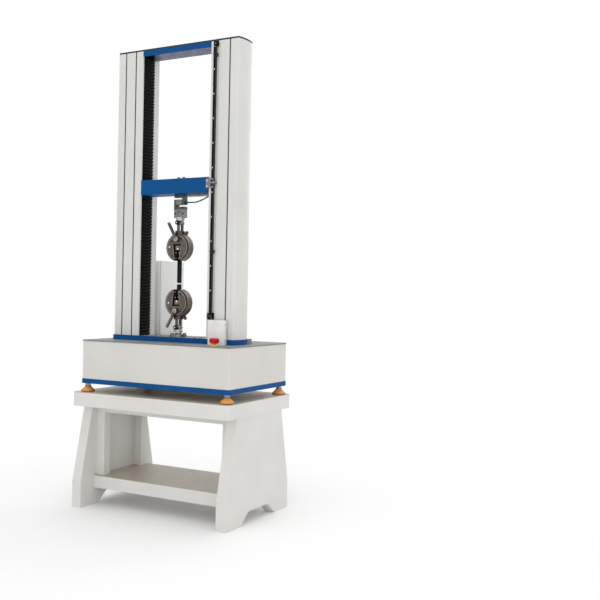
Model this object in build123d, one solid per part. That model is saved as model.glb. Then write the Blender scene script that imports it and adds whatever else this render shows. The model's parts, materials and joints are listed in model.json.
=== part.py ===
from build123d import *
import os
from math import cos, pi, radians, sin, tan

# Universal testing machine on its stand, in millimetres.
# Origin at the centre of the stand's footprint on the floor, X to the right, Y to the back, Z up.

# Clearances
run_fit = 0.05
slide_gap = 0.2
curve_gap = 0.3
soft_gap = 0.5
side_gap = 2.0
cut_margin = 1.0

# Stand
stand_width = 896.0
stand_depth = 562.0
stand_height = 560.0
slab_height = 68.0
slab_corner = 12.0
slab_wall = 4.0
slab_rim_width = 180.0
cover_sheet = 2.0
leg_thickness = 53.0
leg_side_inset = 5.0
leg_wall = 4.0
foot_height = 126.0
foot_inset = 1.0
foot_sole = 126.0
arch_height = 55.0
arch_slope = 64.0
arch_radius = 30.0
knee_radius = 60.0
leg_top_inset = 78.0
post_size = 45.0
post_wall = 3.0
post_inset = 114.0
rail_height = 37.0
rail_thickness = 25.0
shelf_level = 144.0
shelf_apron = 62.0
shelf_inset = 93.0
shelf_wall = 3.0
stand_bolt_radius = 12.0
stand_bolt_head = 7.0
stand_bolt_spacing = 180.0

# Base
base_shift = 15.0
base_width = 850.0
base_depth = 520.0
base_height = 212.0
foot_gap = 40.0
housing_wall = 3.0
housing_corner = 8.0
trim_height = 23.0
trim_wall = 5.0
trim_proud = 2.0
top_plate_thickness = 6.0
pan_thickness = 8.0
foot_side_inset = 22.0
foot_front_inset = 20.0
foot_rear_inset = 30.0
pad_radius = 32.5
pad_height = 25.0
pad_rim = 7.0
pad_neck = 13.0
pad_round = 4.0
stud_radius = 8.0
stud_socket = 10.0
stud_reach = 30.0
nut_height = 13.0
nut_radius = 14.0

# Drive inside the base
screw_radius = 12.5
screw_journal_radius = 10.0
upper_journal_radius = 8.5
screw_pulley_radius = 35.0
motor_pulley_radius = 17.5
pulley_height = 20.0
pulley_flange = 2.0
pulley_flange_proud = 3.0
belt_thickness = 3.0
bearing_width = 80.0
bearing_height = 34.0
bearing_to_pulley = 7.0
motor_size = 80.0
motor_flange = 100.0
motor_flange_thickness = 8.0
motor_corner = 6.0
motor_shaft_radius = 8.0
motor_axis_y = 135.0
motor_pulley_gap = 7.0

# Load frame
table_thickness = 24.0
table_depth = 166.0
plinth_front = 6.0
plinth_side = 4.0
opening_width = 400.0
column_width = 150.0
column_bulge = 11.0
column_depth = 130.0
column_height = 1392.0
column_inset = 144.0
column_wall = 6.0
column_front_wall = 12.0
column_front_corner = 8.0
column_rear_corner = 30.0
slot_lip = 8.0
slot_width = 84.0
groove_places = (43.0, 104.0)
groove_width = 7.0
groove_depth = 2.5
seal_thickness = 1.5
recess_start = 11.0
recess_width = 32.0
recess_depth = 6.0
load_axis_setback = 56.0
screw_offset = 45.0
guide_offset = 105.0
guide_radius = 15.0
guide_socket = 16.0
upper_block_height = 30.0
upper_block_depth = 80.0
upper_block_margin = 26.0
cap_thickness = 8.0
beam_thickness = 25.0
beam_depth = 100.0
fascia_thickness = 4.0

# Bellows
bellows_proud = 6.0
pleat_depth = 9.0
pleat_skin = 5.0
pleat_pitch = 16.5

# Crosshead
crosshead_level = 688.0
crosshead_height = 72.0
crosshead_depth = 100.0
crosshead_edge = 3.0
arm_side_gap = 4.0
arm_reach = 30.0
nut_body_radius = 25.0
nut_flange_radius = 34.0
nut_flange_height = 10.0
bush_radius = 22.5
cell_bolt_spacing = 29.0
cell_bolt_radius = 6.0
cell_bolt_head_radius = 9.0
cell_bolt_head = 10.0
washer_plate_width = 68.0
washer_plate_depth = 46.0
washer_plate_thickness = 4.0
duct_start = 45.0
duct_end = 188.0
duct_depth = 24.0
duct_height = 11.0

# Limit stops on the right column
rail_width = 14.0
rail_proud_thickness = 4.0
rail_screw_pitch = 115.0
rail_screw_radius = 3.5
rail_screw_head = 2.0
rod_place = 33.0
rod_standoff = 8.0
rod_radius = 4.0
rod_float = 3.0
switch_height = 30.0
switch_width = 30.0
switch_depth = 22.0
switch_floor = 8.0
rod_guide_height = 18.0
rod_guide_width = 20.0
rod_guide_front = 7.0
stop_radius = 9.0
stop_height = 16.0
stop_knob_radius = 5.5
stop_knob_length = 11.0
upper_stop_level = 1325.0
lower_stop_level = 408.0
bracket_overlap = 12.0
bracket_window_height = 30.0
bracket_window_side = 1.0
bracket_height = 46.0
bracket_plate = 4.0
bracket_drop = 8.0
bracket_tongue = 8.0
bracket_eye_gap = 1.0
bracket_rim = 7.0

# Load cell and its coupling
cell_width = 62.0
cell_height = 72.0
cell_depth = 25.0
cell_slot = 9.0
cell_slot_offset = 17.5
cell_slot_length = 43.0
cage_width = 60.0
cage_height = 40.0
cage_window = 18.0
cage_top_bar = 7.0
collar_radius = 22.0
collar_height = 12.5
collar_gap = 1.5
gland_radius = 6.5
gland_length = 8.0
cable_radius = 3.2
cable_exit_offset = -2.0
cable_duct_entry = 3.0
cable_run = ((20.0, 0.0, 0.0), (46.0, -1.0, -1.0), (74.0, -1.0, 5.0))
cable_rise_start = (103.0, 1.0, 13.0)
cable_rise_end = (131.0, 2.0)

# Grips
upper_grip_level = 432.0
lower_grip_level = 165.0
drum_radius = 67.0
core_thickness = 38.0
cover_radius = 60.0
cover_thickness = 6.0
rim_chamfer = 2.0
wedge_angle = 8.0
window_mouth = 17.0
cover_window_lip = 5.0
cover_window_gap = 7.5
jaw_length = 50.0
jaw_inset = 5.0
jaw_thickness = 36.0
jaw_travel = 16.0
carrier_width = 24.0
carrier_height = 20.0
ear_width = 12.0
ear_thickness = 8.0
ear_eye_radius = 10.0
ear_root_width = 32.0
ear_root_height = 14.0
pin_distance = 120.0
pin_radius = 5.0
pin_tail = 3.0
pin_neck = 1.0
knob_radius = 10.0
knob_length = 13.0
knob_round = 3.0
lever_roof = 7.5
lever_shaft_radius = 6.0
hub_radius = 13.0
hub_thickness = 12.0
lever_angle = 30.0
lever_length = 92.0
lever_radius = 7.5
lever_tip = 3.0
stub_angle = 25.0
stub_length = 46.0
flange_radius = 42.0
flange_height = 10.0
flange_bolt_circle = 60.0
flange_bolt_radius = 5.0
flange_bolt_head_radius = 8.0
flange_bolt_head = 8.0
stem_radius = 16.0

# Specimen
specimen_width = 24.0
specimen_thickness = 10.0
specimen_grip_length = 40.0
specimen_gap = 0.3

# Controls
control_box_place = 31.0
control_box_width = 86.0
control_box_depth = 30.0
control_box_height = 114.0
control_box_corner = 5.0
estop_side_inset = 98.0
estop_edge_inset = 23.0
estop_collar_radius = 19.0
estop_collar_height = 8.0
estop_stem_radius = 5.0
estop_neck_radius = 18.0
estop_head_radius = 22.5
estop_head_height = 24.0
estop_round = 5.0
estop_travel = 4.0
cabinet_side_inset = 25.0
cabinet_width = 200.0
cabinet_depth = 211.0
cabinet_height = 398.0
cabinet_rear_overhang = 6.0
cabinet_corner = 12.0
cabinet_cover_depth = 37.0
cabinet_cover_step = 2.0
cabinet_wall = 3.0

# Levels and places worked out from the sizes above
slab_bottom = stand_height - slab_height
sheet_bottom = stand_height - cover_sheet
stand_front = -stand_depth / 2
leg_outer = stand_width / 2 - leg_side_inset
leg_inner = leg_outer - leg_thickness
foot_front = stand_front + foot_inset
post_front = stand_front + post_inset
shelf_front = stand_front + shelf_inset
shelf_skin = shelf_level - cover_sheet

base_bottom = stand_height + foot_gap
base_top = base_bottom + base_height
top_plate_bottom = base_top - top_plate_thickness
housing_bottom = base_bottom + trim_height
base_front = base_shift - base_depth / 2
base_back = base_shift + base_depth / 2
pan_top = base_bottom + pan_thickness

table_top = base_top + table_thickness
column_top = table_top + column_height
column_in = opening_width / 2
column_out = column_in + column_width
column_front = base_front + column_inset
column_back = column_front + column_depth
recess_floor = column_front + recess_depth
slot_front = column_front + slot_lip
slot_back = slot_front + slot_width
axis_y = column_front + load_axis_setback
screw_x = column_in + screw_offset
guide_x = column_in + guide_offset
beam_bottom = column_top - beam_thickness
upper_block_bottom = column_top - upper_block_height

bearing_bottom = top_plate_bottom - bearing_height
pulley_top = bearing_bottom - bearing_to_pulley
pulley_bottom = pulley_top - pulley_height
motor_top = pulley_bottom - motor_pulley_gap

crosshead_bottom = table_top + crosshead_level
crosshead_top = crosshead_bottom + crosshead_height
crosshead_half = column_in - side_gap
crosshead_front = column_front - side_gap
crosshead_back = crosshead_front + crosshead_depth
bellows_face = column_in - bellows_proud

cell_top = crosshead_bottom
cell_bottom = cell_top - cell_height
cage_bottom = cell_bottom - cage_height
collar_bottom = cage_bottom - collar_height
upper_grip_z = table_top + upper_grip_level
lower_grip_z = table_top + lower_grip_level
upper_pin_z = upper_grip_z + pin_distance
lower_pin_z = lower_grip_z - pin_distance
drum_front = core_thickness / 2 + cover_thickness
wedge_slope = tan(radians(wedge_angle))
jaw_face = specimen_thickness / 2 + specimen_gap
jaw_top = -drum_radius + jaw_inset + jaw_length
carrier_bottom = jaw_top + soft_gap
carrier_top = carrier_bottom + carrier_height
window_top = carrier_top + jaw_travel + side_gap
cover_window_top = carrier_top + cover_window_gap
lever_place = window_top + lever_roof + lever_shaft_radius

estop_x = base_width / 2 - estop_side_inset
estop_y = base_front + estop_edge_inset

rod_x = column_in + rod_place
rod_y = column_front - rod_standoff
switch_bottom = base_top + control_box_height + side_gap
switch_top = switch_bottom + switch_height
switch_bore = switch_bottom + switch_floor
upper_stop_z = table_top + upper_stop_level
lower_stop_z = table_top + lower_stop_level


def block(x0, x1, y0, y1, z0, z1):
    return Pos((x0 + x1) / 2, (y0 + y1) / 2, (z0 + z1) / 2) * Box(x1 - x0, y1 - y0, z1 - z0)


def rounded_block(x0, x1, y0, y1, z0, z1, corner):
    outline = Pos((x0 + x1) / 2, (y0 + y1) / 2, z0) * RectangleRounded(x1 - x0, y1 - y0, corner)
    return extrude(outline, amount=z1 - z0)


def upright(x, y, z0, z1, radius):
    return Pos(x, y, (z0 + z1) / 2) * Cylinder(radius, z1 - z0)


def crosswise(x, z, y0, y1, radius):
    return Pos(x, (y0 + y1) / 2, z) * Rot(90, 0, 0) * Cylinder(radius, y1 - y0)


def sideways(y, z, x0, x1, radius):
    return Pos((x0 + x1) / 2, y, z) * Rot(0, 90, 0) * Cylinder(radius, x1 - x0)


def hexagon(x, y, z0, z1, radius):
    return extrude(Pos(x, y, z0) * RegularPolygon(radius, 6), amount=z1 - z0)


def profile_x(points, x0, x1):
    # Outline of (y, z) points, drawn out along X
    face = make_face(Polyline(*[(x0, y, z) for y, z in points], close=True))
    return extrude(face, amount=x1 - x0, dir=(1, 0, 0))


def profile_y(points, y0, y1):
    # Outline of (x, z) points, drawn out along Y
    face = make_face(Polyline(*[(x, y0, z) for x, z in points], close=True))
    return extrude(face, amount=y1 - y0, dir=(0, 1, 0))


def group(*shapes):
    return Compound(children=[solid for shape in shapes for solid in shape.solids()])


def to_left(shape):
    return mirror(shape, about=Plane.YZ)


def both_sides(shape):
    return group(shape, to_left(shape))


# Stand

def leg_outline(inset):
    # Half of the leg's (y, z) outline, from the middle of the arch forward and up, moved in by inset
    slope = (leg_top_inset - foot_inset) / (slab_bottom - foot_height)
    arch_end = foot_front + foot_sole + arch_slope
    return [
        (arch_end - inset, arch_height + inset),
        (foot_front + foot_sole - inset, inset),
        (foot_front + inset, inset),
        (foot_front + inset, foot_height),
        (foot_front + inset + slope * (slab_bottom - foot_height), slab_bottom),
    ]


def leg_solid(inset, x0, x1):
    half = leg_outline(inset)
    points = half + [(-y, z) for y, z in reversed(half)]
    return profile_x(points, x0, x1)


def stand_leg():
    leg = leg_solid(0, leg_inner, leg_outer)
    arch = leg.edges().filter_by(Axis.X).filter_by(lambda e: abs(e.center().Z - arch_height) < 1)
    leg = fillet(arch, arch_radius)
    knee = leg.edges().filter_by(Axis.X).filter_by(lambda e: abs(e.center().Z - foot_height) < 1)
    leg = fillet(knee, knee_radius)
    hollow = leg_solid(leg_wall, leg_inner + leg_wall, leg_outer - leg_wall)
    return leg - hollow


def stand_top():
    slab = rounded_block(
        -stand_width / 2, stand_width / 2, stand_front, -stand_front, slab_bottom, sheet_bottom, slab_corner
    )
    inside = block(
        -stand_width / 2 + slab_wall, stand_width / 2 - slab_wall,
        stand_front + slab_wall, -stand_front - slab_wall,
        slab_bottom + slab_wall, sheet_bottom - slab_wall,
    )
    underside = block(
        -stand_width / 2 + slab_rim_width, stand_width / 2 - slab_rim_width,
        stand_front + slab_rim_width, -stand_front - slab_rim_width,
        slab_bottom, slab_bottom + slab_wall,
    )
    return slab - inside - underside


def stand_sheets():
    top = rounded_block(
        -stand_width / 2, stand_width / 2, stand_front, -stand_front, sheet_bottom, stand_height, slab_corner
    )
    shelf = block(-leg_inner, leg_inner, shelf_front, -shelf_front, shelf_skin, shelf_level)
    return group(top, shelf)


def stand_shelf():
    tray = block(
        -leg_inner, leg_inner, shelf_front, -shelf_front, shelf_level - shelf_apron, shelf_skin
    )
    inside = block(
        -leg_inner + shelf_wall, leg_inner - shelf_wall,
        shelf_front + shelf_wall, -shelf_front - shelf_wall,
        shelf_level - shelf_apron, shelf_skin - shelf_wall,
    )
    return tray - inside


def stand_posts():
    posts = []
    for x in (leg_inner - post_size, -leg_inner):
        for y in (post_front, -post_front - post_size):
            tube = block(x, x + post_size, y, y + post_size, shelf_level, slab_bottom)
            bore = block(
                x + post_wall, x + post_size - post_wall, y + post_wall, y + post_size - post_wall,
                shelf_level, slab_bottom,
            )
            posts.append(tube - bore)
    return group(*posts)


def stand_rails():
    half = leg_inner - post_size
    front = block(-half, half, post_front, post_front + rail_thickness, slab_bottom - rail_height, slab_bottom)
    return group(front, mirror(front, about=Plane.XZ))


def stand_bolts():
    bolts = []
    for y in (-stand_bolt_spacing / 2, stand_bolt_spacing / 2):
        face = leg_inner - shelf_wall
        level = shelf_level - shelf_apron / 2
        head = extrude(
            Pos(face - stand_bolt_head, y, level) * Rot(0, 90, 0) * RegularPolygon(stand_bolt_radius, 6),
            amount=stand_bolt_head,
        )
        bolts.append(head)
        hang = leg_inner - post_size / 2
        bolts.append(hexagon(hang, y, slab_bottom - stand_bolt_head, slab_bottom, stand_bolt_radius))
    return group(*bolts, *[to_left(bolt) for bolt in bolts])


# Base

def foot_places():
    reach = base_width / 2 - foot_side_inset
    lines = (base_front + foot_front_inset, base_back - foot_rear_inset)
    return [(x, y) for x in (-reach, reach) for y in lines]


def foot_pad(x, y):
    outline = Polyline(
        (0, 0), (pad_radius, 0), (pad_radius, pad_rim), (pad_neck, pad_height), (0, pad_height), close=True
    )
    profile = make_face(outline)
    rim = profile.vertices().sort_by(Axis.X)[-2:]
    profile = fillet([v for v in rim if v.Y > pad_rim / 2], pad_round)
    dome = revolve(Plane.XZ * profile, axis=Axis.Z)
    socket = upright(0, 0, pad_height - stud_socket, pad_height, stud_radius)
    return Pos(x, y, stand_height) * (dome - socket)


def foot_pads():
    return group(*[foot_pad(x, y) for x, y in foot_places()])


def levelling_studs():
    pieces = []
    for x, y in foot_places():
        foot = stand_height + pad_height - stud_socket
        pieces.append(upright(x, y, foot, pan_top + stud_reach, stud_radius))
        for level in (base_bottom - nut_height, pan_top):
            nut = hexagon(x, y, level, level + nut_height, nut_radius)
            pieces.append(nut - upright(x, y, level, level + nut_height, stud_radius))
    return group(*pieces)


def base_pan():
    half = base_width / 2 + trim_proud - trim_wall
    front = base_front - trim_proud + trim_wall
    back = base_back + trim_proud - trim_wall
    pan = block(-half, half, front, back, base_bottom, pan_top)
    for x, y in foot_places():
        pan -= upright(x, y, base_bottom, pan_top, stud_radius)
    return pan


def base_trim():
    half = base_width / 2 + trim_proud
    front = base_front - trim_proud
    back = base_back + trim_proud
    ring = rounded_block(-half, half, front, back, base_bottom, housing_bottom, housing_corner)
    inside = block(
        -half + trim_wall, half - trim_wall, front + trim_wall, back - trim_wall, base_bottom, housing_bottom
    )
    return ring - inside


def base_housing():
    half = base_width / 2
    shell = rounded_block(
        -half, half, base_front, base_back, housing_bottom, top_plate_bottom, housing_corner
    )
    inside = rounded_block(
        -half + housing_wall, half - housing_wall, base_front + housing_wall, base_back - housing_wall,
        housing_bottom, top_plate_bottom, housing_corner - housing_wall,
    )
    return shell - inside


def screw_places():
    return [(-screw_x, axis_y), (screw_x, axis_y)]


def base_top_plate():
    half = base_width / 2 + trim_proud
    plate = rounded_block(
        -half, half, base_front - trim_proud, base_back + trim_proud, top_plate_bottom, base_top,
        housing_corner,
    )
    for x, y in screw_places():
        plate -= upright(x, y, top_plate_bottom, base_top, screw_radius + side_gap)
    return plate


# Drive

def pulley(x, y, radius, bore):
    wheel = upright(x, y, pulley_bottom, pulley_top, radius)
    for level in (pulley_bottom, pulley_top - pulley_flange):
        wheel += upright(x, y, level, level + pulley_flange, radius + pulley_flange_proud)
    return wheel - upright(x, y, pulley_bottom, pulley_top, bore)


def screw_pulley(x):
    return pulley(x, axis_y, screw_pulley_radius, screw_journal_radius)


def motor_pulley():
    return pulley(0, motor_axis_y, motor_pulley_radius, motor_shaft_radius)


def motor_shaft():
    return upright(0, motor_axis_y, motor_top + run_fit, pulley_top, motor_shaft_radius)


def belt_loop(growth, z0, z1):
    rims = [Pos(x, y, z0) * Circle(screw_pulley_radius + growth) for x, y in screw_places()]
    rims.append(Pos(0, motor_axis_y, z0) * Circle(motor_pulley_radius + growth))
    return extrude(make_hull([edge for rim in rims for edge in rim.edges()]), amount=z1 - z0)


def drive_belt():
    z0 = pulley_bottom + pulley_flange + slide_gap
    z1 = pulley_top - pulley_flange - slide_gap
    return belt_loop(curve_gap + belt_thickness, z0, z1) - belt_loop(curve_gap, z0, z1)


def servo_motor():
    half = motor_size / 2
    flange = motor_flange / 2
    body = rounded_block(
        -half, half, motor_axis_y - half, motor_axis_y + half, pan_top, motor_top, motor_corner
    )
    plate = rounded_block(
        -flange, flange, motor_axis_y - flange, motor_axis_y + flange,
        motor_top - motor_flange_thickness, motor_top, motor_corner,
    )
    return body + plate


def lower_bearings():
    half = bearing_width / 2
    housings = []
    for x, y in screw_places():
        housing = rounded_block(
            x - half, x + half, y - half, y + half, bearing_bottom, top_plate_bottom, motor_corner
        )
        housings.append(housing - upright(x, y, bearing_bottom, top_plate_bottom,
                                          screw_journal_radius + run_fit))
    return group(*housings)


def ball_screw(x):
    lower = upright(x, axis_y, pulley_bottom, base_top, screw_journal_radius)
    middle = upright(x, axis_y, base_top, upper_block_bottom - side_gap, screw_radius)
    upper = upright(x, axis_y, upper_block_bottom - side_gap, column_top - side_gap, upper_journal_radius)
    return lower + middle + upper


# Load frame

def table_plate():
    plate = block(
        -column_out, column_out, column_front, column_front + table_depth, base_top, table_top
    )
    for x, y in screw_places():
        plate -= upright(x, y, base_top, table_top, screw_radius + side_gap)
    for x in (-guide_x, guide_x):
        plate -= upright(x, axis_y, table_top - guide_socket, table_top, guide_radius)
    return plate


def bulged_side(outer, front, back):
    # Outer side of a column, seen from above
    return ThreePointArc((outer, front), (outer + column_bulge, (front + back) / 2), (outer, back))


def frame_outline(outer, front, back):
    # Outline round both columns, with their bulged sides and rounded corners
    right = bulged_side(outer, front, back)
    left = mirror(right, about=Plane.YZ)
    lines = [Line((-outer, front), (outer, front)), Line((outer, back), (-outer, back))]
    outline = make_face(right.edges() + left.edges() + [line.edge() for line in lines])
    outline = fillet(outline.vertices().group_by(Axis.Y)[-1], column_rear_corner)
    return fillet(outline.vertices().group_by(Axis.Y)[0], column_front_corner)


def plinth_trim():
    # Blue strip round the front and the bulged sides of the columns' foot
    outline = frame_outline(column_out + plinth_side, column_front - plinth_front, column_back)
    strip = extrude(Pos(0, 0, base_top) * outline, amount=table_thickness)
    return strip - block(-column_out, column_out, column_front, column_back, base_top, table_top)


def column_section(inner, outer, front, back, rear_corner, front_corner):
    side = bulged_side(outer, front, back)
    rest = Polyline((outer, back), (inner, back), (inner, front), (outer, front))
    section = make_face(side.edges() + rest.edges())
    corners = section.vertices().sort_by(Axis.X)[2:].sort_by(Axis.Y)
    section = fillet(corners[1], rear_corner)
    corners = section.vertices().group_by(Axis.Y)[0].sort_by(Axis.X)
    return fillet(corners[-1], front_corner)


def column(grooves):
    section = column_section(
        column_in, column_out, column_front, column_back, column_rear_corner, column_front_corner
    )
    cavity = column_section(
        column_in + column_wall, column_out - column_wall,
        column_front + column_front_wall, column_back - column_wall,
        column_rear_corner - column_wall, column_front_corner,
    )
    slot = Pos(column_in, (slot_front + slot_back) / 2) * Rectangle(4 * column_wall, slot_width)
    section = section - cavity - slot
    for place in grooves:
        groove = Pos(column_in + place, column_front) * Rectangle(groove_width, 2 * groove_depth)
        section -= groove
    return Pos(0, 0, table_top) * extrude(section, amount=column_height)


def column_left():
    return to_left(column(groove_places))


def column_right():
    # The inner part of this front face is a recess for the limit rail and rod
    recess = block(
        column_in + recess_start, column_in + recess_start + recess_width,
        column_front, recess_floor, table_top, column_top,
    )
    return column(groove_places[1:]) - recess


def groove_seal(place):
    x = column_in + place
    return block(
        x - groove_width / 2, x + groove_width / 2,
        column_front + groove_depth - seal_thickness, column_front + groove_depth,
        table_top, column_top,
    )


def column_seals():
    left = [to_left(groove_seal(place)) for place in groove_places]
    return group(*left, groove_seal(groove_places[1]))


def guide_rods():
    rod = upright(guide_x, axis_y, table_top - guide_socket, upper_block_bottom, guide_radius)
    return both_sides(rod)


def upper_blocks():
    inner = screw_x - upper_block_margin
    outer = guide_x + upper_block_margin
    near = axis_y - upper_block_depth / 2
    housing = block(inner, outer, near, near + upper_block_depth, upper_block_bottom, column_top)
    housing -= upright(
        screw_x, axis_y, upper_block_bottom, column_top, upper_journal_radius + run_fit
    )
    return both_sides(housing)


def top_beam():
    return block(
        -column_in, column_in, column_front + fascia_thickness, column_front + beam_depth,
        beam_bottom, column_top,
    )


def top_fascia():
    return block(
        -column_in, column_in, column_front, column_front + fascia_thickness, beam_bottom, column_top
    )


def top_cap():
    outline = frame_outline(column_out, column_front, column_back)
    return Pos(0, 0, column_top) * extrude(outline, amount=cap_thickness)


# Bellows

def bellows(z0, z1):
    # Pleated strip that closes the slot of the right column between two levels
    low = z0 + curve_gap
    high = z1 - curve_gap
    folds = 2 * round((high - low) / pleat_pitch)
    step = (high - low) / folds
    edge = [
        (bellows_face + (0 if fold % 2 else pleat_depth), low + fold * step)
        for fold in range(folds + 1)
    ]
    back = [(x + pleat_skin, z) for x, z in reversed(edge)]
    return profile_y(edge + back, slot_front + soft_gap, slot_back - soft_gap)


def upper_bellows():
    return bellows(crosshead_top, beam_bottom)


def lower_bellows():
    return bellows(table_top, crosshead_bottom)


# Crosshead

def crosshead():
    beam = block(
        -crosshead_half, crosshead_half, crosshead_front, crosshead_back, crosshead_bottom, crosshead_top
    )
    beam = chamfer(beam.edges().filter_by(Axis.X), crosshead_edge)
    near = slot_front + arm_side_gap
    far = slot_back - arm_side_gap
    reach = guide_x + arm_reach
    beam += block(-reach, reach, near, far, crosshead_bottom, crosshead_top)
    for side in (-1, 1):
        beam -= upright(side * screw_x, axis_y, crosshead_bottom, crosshead_top, nut_body_radius)
        beam -= upright(side * guide_x, axis_y, crosshead_bottom, crosshead_top, bush_radius)
        beam -= upright(
            side * cell_bolt_spacing / 2, axis_y, crosshead_bottom, crosshead_top, cell_bolt_radius
        )
    return beam


def ball_nuts():
    nut = upright(screw_x, axis_y, crosshead_bottom, crosshead_top, nut_body_radius)
    nut += upright(
        screw_x, axis_y, crosshead_bottom - nut_flange_height, crosshead_bottom, nut_flange_radius
    )
    nut -= upright(
        screw_x, axis_y, crosshead_bottom - nut_flange_height, crosshead_top, screw_radius + run_fit
    )
    return both_sides(nut)


def guide_bushes():
    bush = upright(guide_x, axis_y, crosshead_bottom, crosshead_top, bush_radius)
    bush -= upright(guide_x, axis_y, crosshead_bottom, crosshead_top, guide_radius + run_fit)
    return both_sides(bush)


def washer_plate():
    plate = block(
        -washer_plate_width / 2, washer_plate_width / 2,
        axis_y - washer_plate_depth / 2, axis_y + washer_plate_depth / 2,
        crosshead_top, crosshead_top + washer_plate_thickness,
    )
    for x in (-cell_bolt_spacing / 2, cell_bolt_spacing / 2):
        plate -= upright(x, axis_y, crosshead_top, crosshead_top + washer_plate_thickness, cell_bolt_radius)
    return plate


def load_cell_bolts():
    seat = crosshead_top + washer_plate_thickness
    bolts = []
    for x in (-cell_bolt_spacing / 2, cell_bolt_spacing / 2):
        shank = upright(x, axis_y, crosshead_bottom, seat, cell_bolt_radius)
        bolts.append(shank + hexagon(x, axis_y, seat, seat + cell_bolt_head, cell_bolt_head_radius))
    return group(*bolts)


def cable_duct():
    near = axis_y - duct_depth / 2
    duct = block(
        duct_start, duct_end, near, near + duct_depth, crosshead_bottom - duct_height, crosshead_bottom
    )
    return duct - cable_tube(cable_path(), cable_radius + run_fit)


# Limit stops

def limit_rail():
    x = column_in + recess_start
    return block(
        x, x + rail_width, recess_floor - rail_proud_thickness, recess_floor, switch_top, beam_bottom
    )


def limit_rail_screws():
    x = column_in + recess_start + rail_width / 2
    face = recess_floor - rail_proud_thickness
    count = int((beam_bottom - switch_top) / rail_screw_pitch)
    start = switch_top + (beam_bottom - switch_top - (count - 1) * rail_screw_pitch) / 2
    levels = [start + index * rail_screw_pitch for index in range(count)]
    return group(*[crosswise(x, z, face - rail_screw_head, face, rail_screw_radius) for z in levels])


def limit_switch():
    middle = column_in + recess_start + recess_width / 2
    housing = block(
        middle - switch_width / 2, middle + switch_width / 2,
        recess_floor - switch_depth, recess_floor, switch_bottom, switch_top,
    )
    return housing - upright(rod_x, rod_y, switch_bore, switch_top, rod_radius + run_fit)


def rod_guide():
    housing = block(
        rod_x - rod_guide_width / 2, rod_x + rod_guide_width / 2, rod_y - rod_guide_front, recess_floor,
        beam_bottom, beam_bottom + rod_guide_height,
    )
    return housing - upright(rod_x, rod_y, beam_bottom, beam_bottom + rod_guide_height, rod_radius + run_fit)


def limit_rod():
    return upright(
        rod_x, rod_y, switch_bore + 2 * rod_float, beam_bottom + rod_guide_height + rod_float, rod_radius
    )


def limit_stop(level):
    collar = upright(rod_x, rod_y, level - stop_height / 2, level + stop_height / 2, stop_radius)
    front = rod_y - stop_radius
    collar += crosswise(rod_x, level, front - stop_knob_length, rod_y - rod_radius - side_gap,
                        stop_knob_radius)
    return collar - upright(rod_x, rod_y, level - stop_height / 2, level + stop_height / 2,
                            rod_radius + run_fit)


def trip_bracket():
    # Plate on the crosshead's front, open over the limit rail, with a tongue that has an eye round the rod
    top = crosshead_top - bracket_drop
    left = crosshead_half - bracket_overlap
    right = rod_x - rod_radius - bracket_eye_gap
    back = crosshead_front
    plate = block(left, right - bracket_eye_gap, back - bracket_plate, back, top - bracket_height, top)
    middle = top - bracket_height / 2
    rail = column_in + recess_start
    plate -= block(
        rail + bracket_window_side, rail + rail_width - bracket_window_side, back - bracket_plate, back,
        middle - bracket_window_height / 2, middle + bracket_window_height / 2,
    )
    eye = rod_radius + bracket_eye_gap
    rim = eye + bracket_rim
    low = middle - bracket_tongue / 2
    high = middle + bracket_tongue / 2
    tongue = block(rail, rod_x, rod_y - rim, back, low, high)
    tongue += upright(rod_x, rod_y, low, high, rim)
    tongue &= block(left, rod_x + rim, rod_y - rim, back, low, high)
    return plate + tongue - upright(rod_x, rod_y, low, high, eye)


# Load cell and coupling

def load_cell():
    half = cell_width / 2
    middle = (cell_top + cell_bottom) / 2
    cell = block(-half, half, axis_y - cell_depth / 2, axis_y + cell_depth / 2, cell_bottom, cell_top)
    for side in (-1, 1):
        level = middle - side * cell_slot_offset
        near = axis_y - cell_depth
        far = axis_y + cell_depth
        end = side * (half - cell_slot_length)
        edges = sorted((end, side * (half + cut_margin)))
        cell -= block(edges[0], edges[1], near, far, level - cell_slot / 2, level + cell_slot / 2)
        cell -= crosswise(end, level, near, far, cell_slot / 2)
    return cell


def cable_gland():
    level = (cell_top + cell_bottom) / 2 + cable_exit_offset
    gland = sideways(axis_y, level, cell_width / 2, cell_width / 2 + gland_length, gland_radius)
    return gland


def cable_points():
    # The cable's route from its gland to the duct under the crosshead
    start = cell_width / 2 + gland_length
    level = (cell_top + cell_bottom) / 2 + cable_exit_offset
    end = crosshead_bottom - duct_height + cable_duct_entry
    points = [(start, axis_y, level)]
    points += [(start + x, axis_y + y, level + z) for x, y, z in cable_run]
    x, y, drop = cable_rise_start
    points.append((start + x, axis_y + y, end - drop))
    x, y = cable_rise_end
    points.append((start + x, axis_y + y, end))
    return points


def bend_radii(points):
    radii = []
    for before, corner, after in zip(points, points[1:], points[2:]):
        run_in = Vector(*corner) - Vector(*before)
        run_out = Vector(*after) - Vector(*corner)
        turn = radians(run_in.get_angle(run_out))
        radii.append(0.45 * min(run_in.length, run_out.length) / tan(turn / 2))
    return radii


def cable_path():
    points = cable_points()
    return FilletPolyline(*points, radius=bend_radii(points))


def cable_tube(path, radius):
    return sweep(Plane(origin=path @ 0, z_dir=path % 0) * Circle(radius), path=path)


def load_cell_cable():
    path = cable_path()
    tube = cable_tube(path, cable_radius)
    print("cable bend radii", [round(radius, 1) for radius in bend_radii(cable_points())])
    print("cable volume ratio", round(tube.volume / (pi * cable_radius ** 2 * path.length), 4))
    print("cable length", round(path.length, 1))
    return tube


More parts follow.
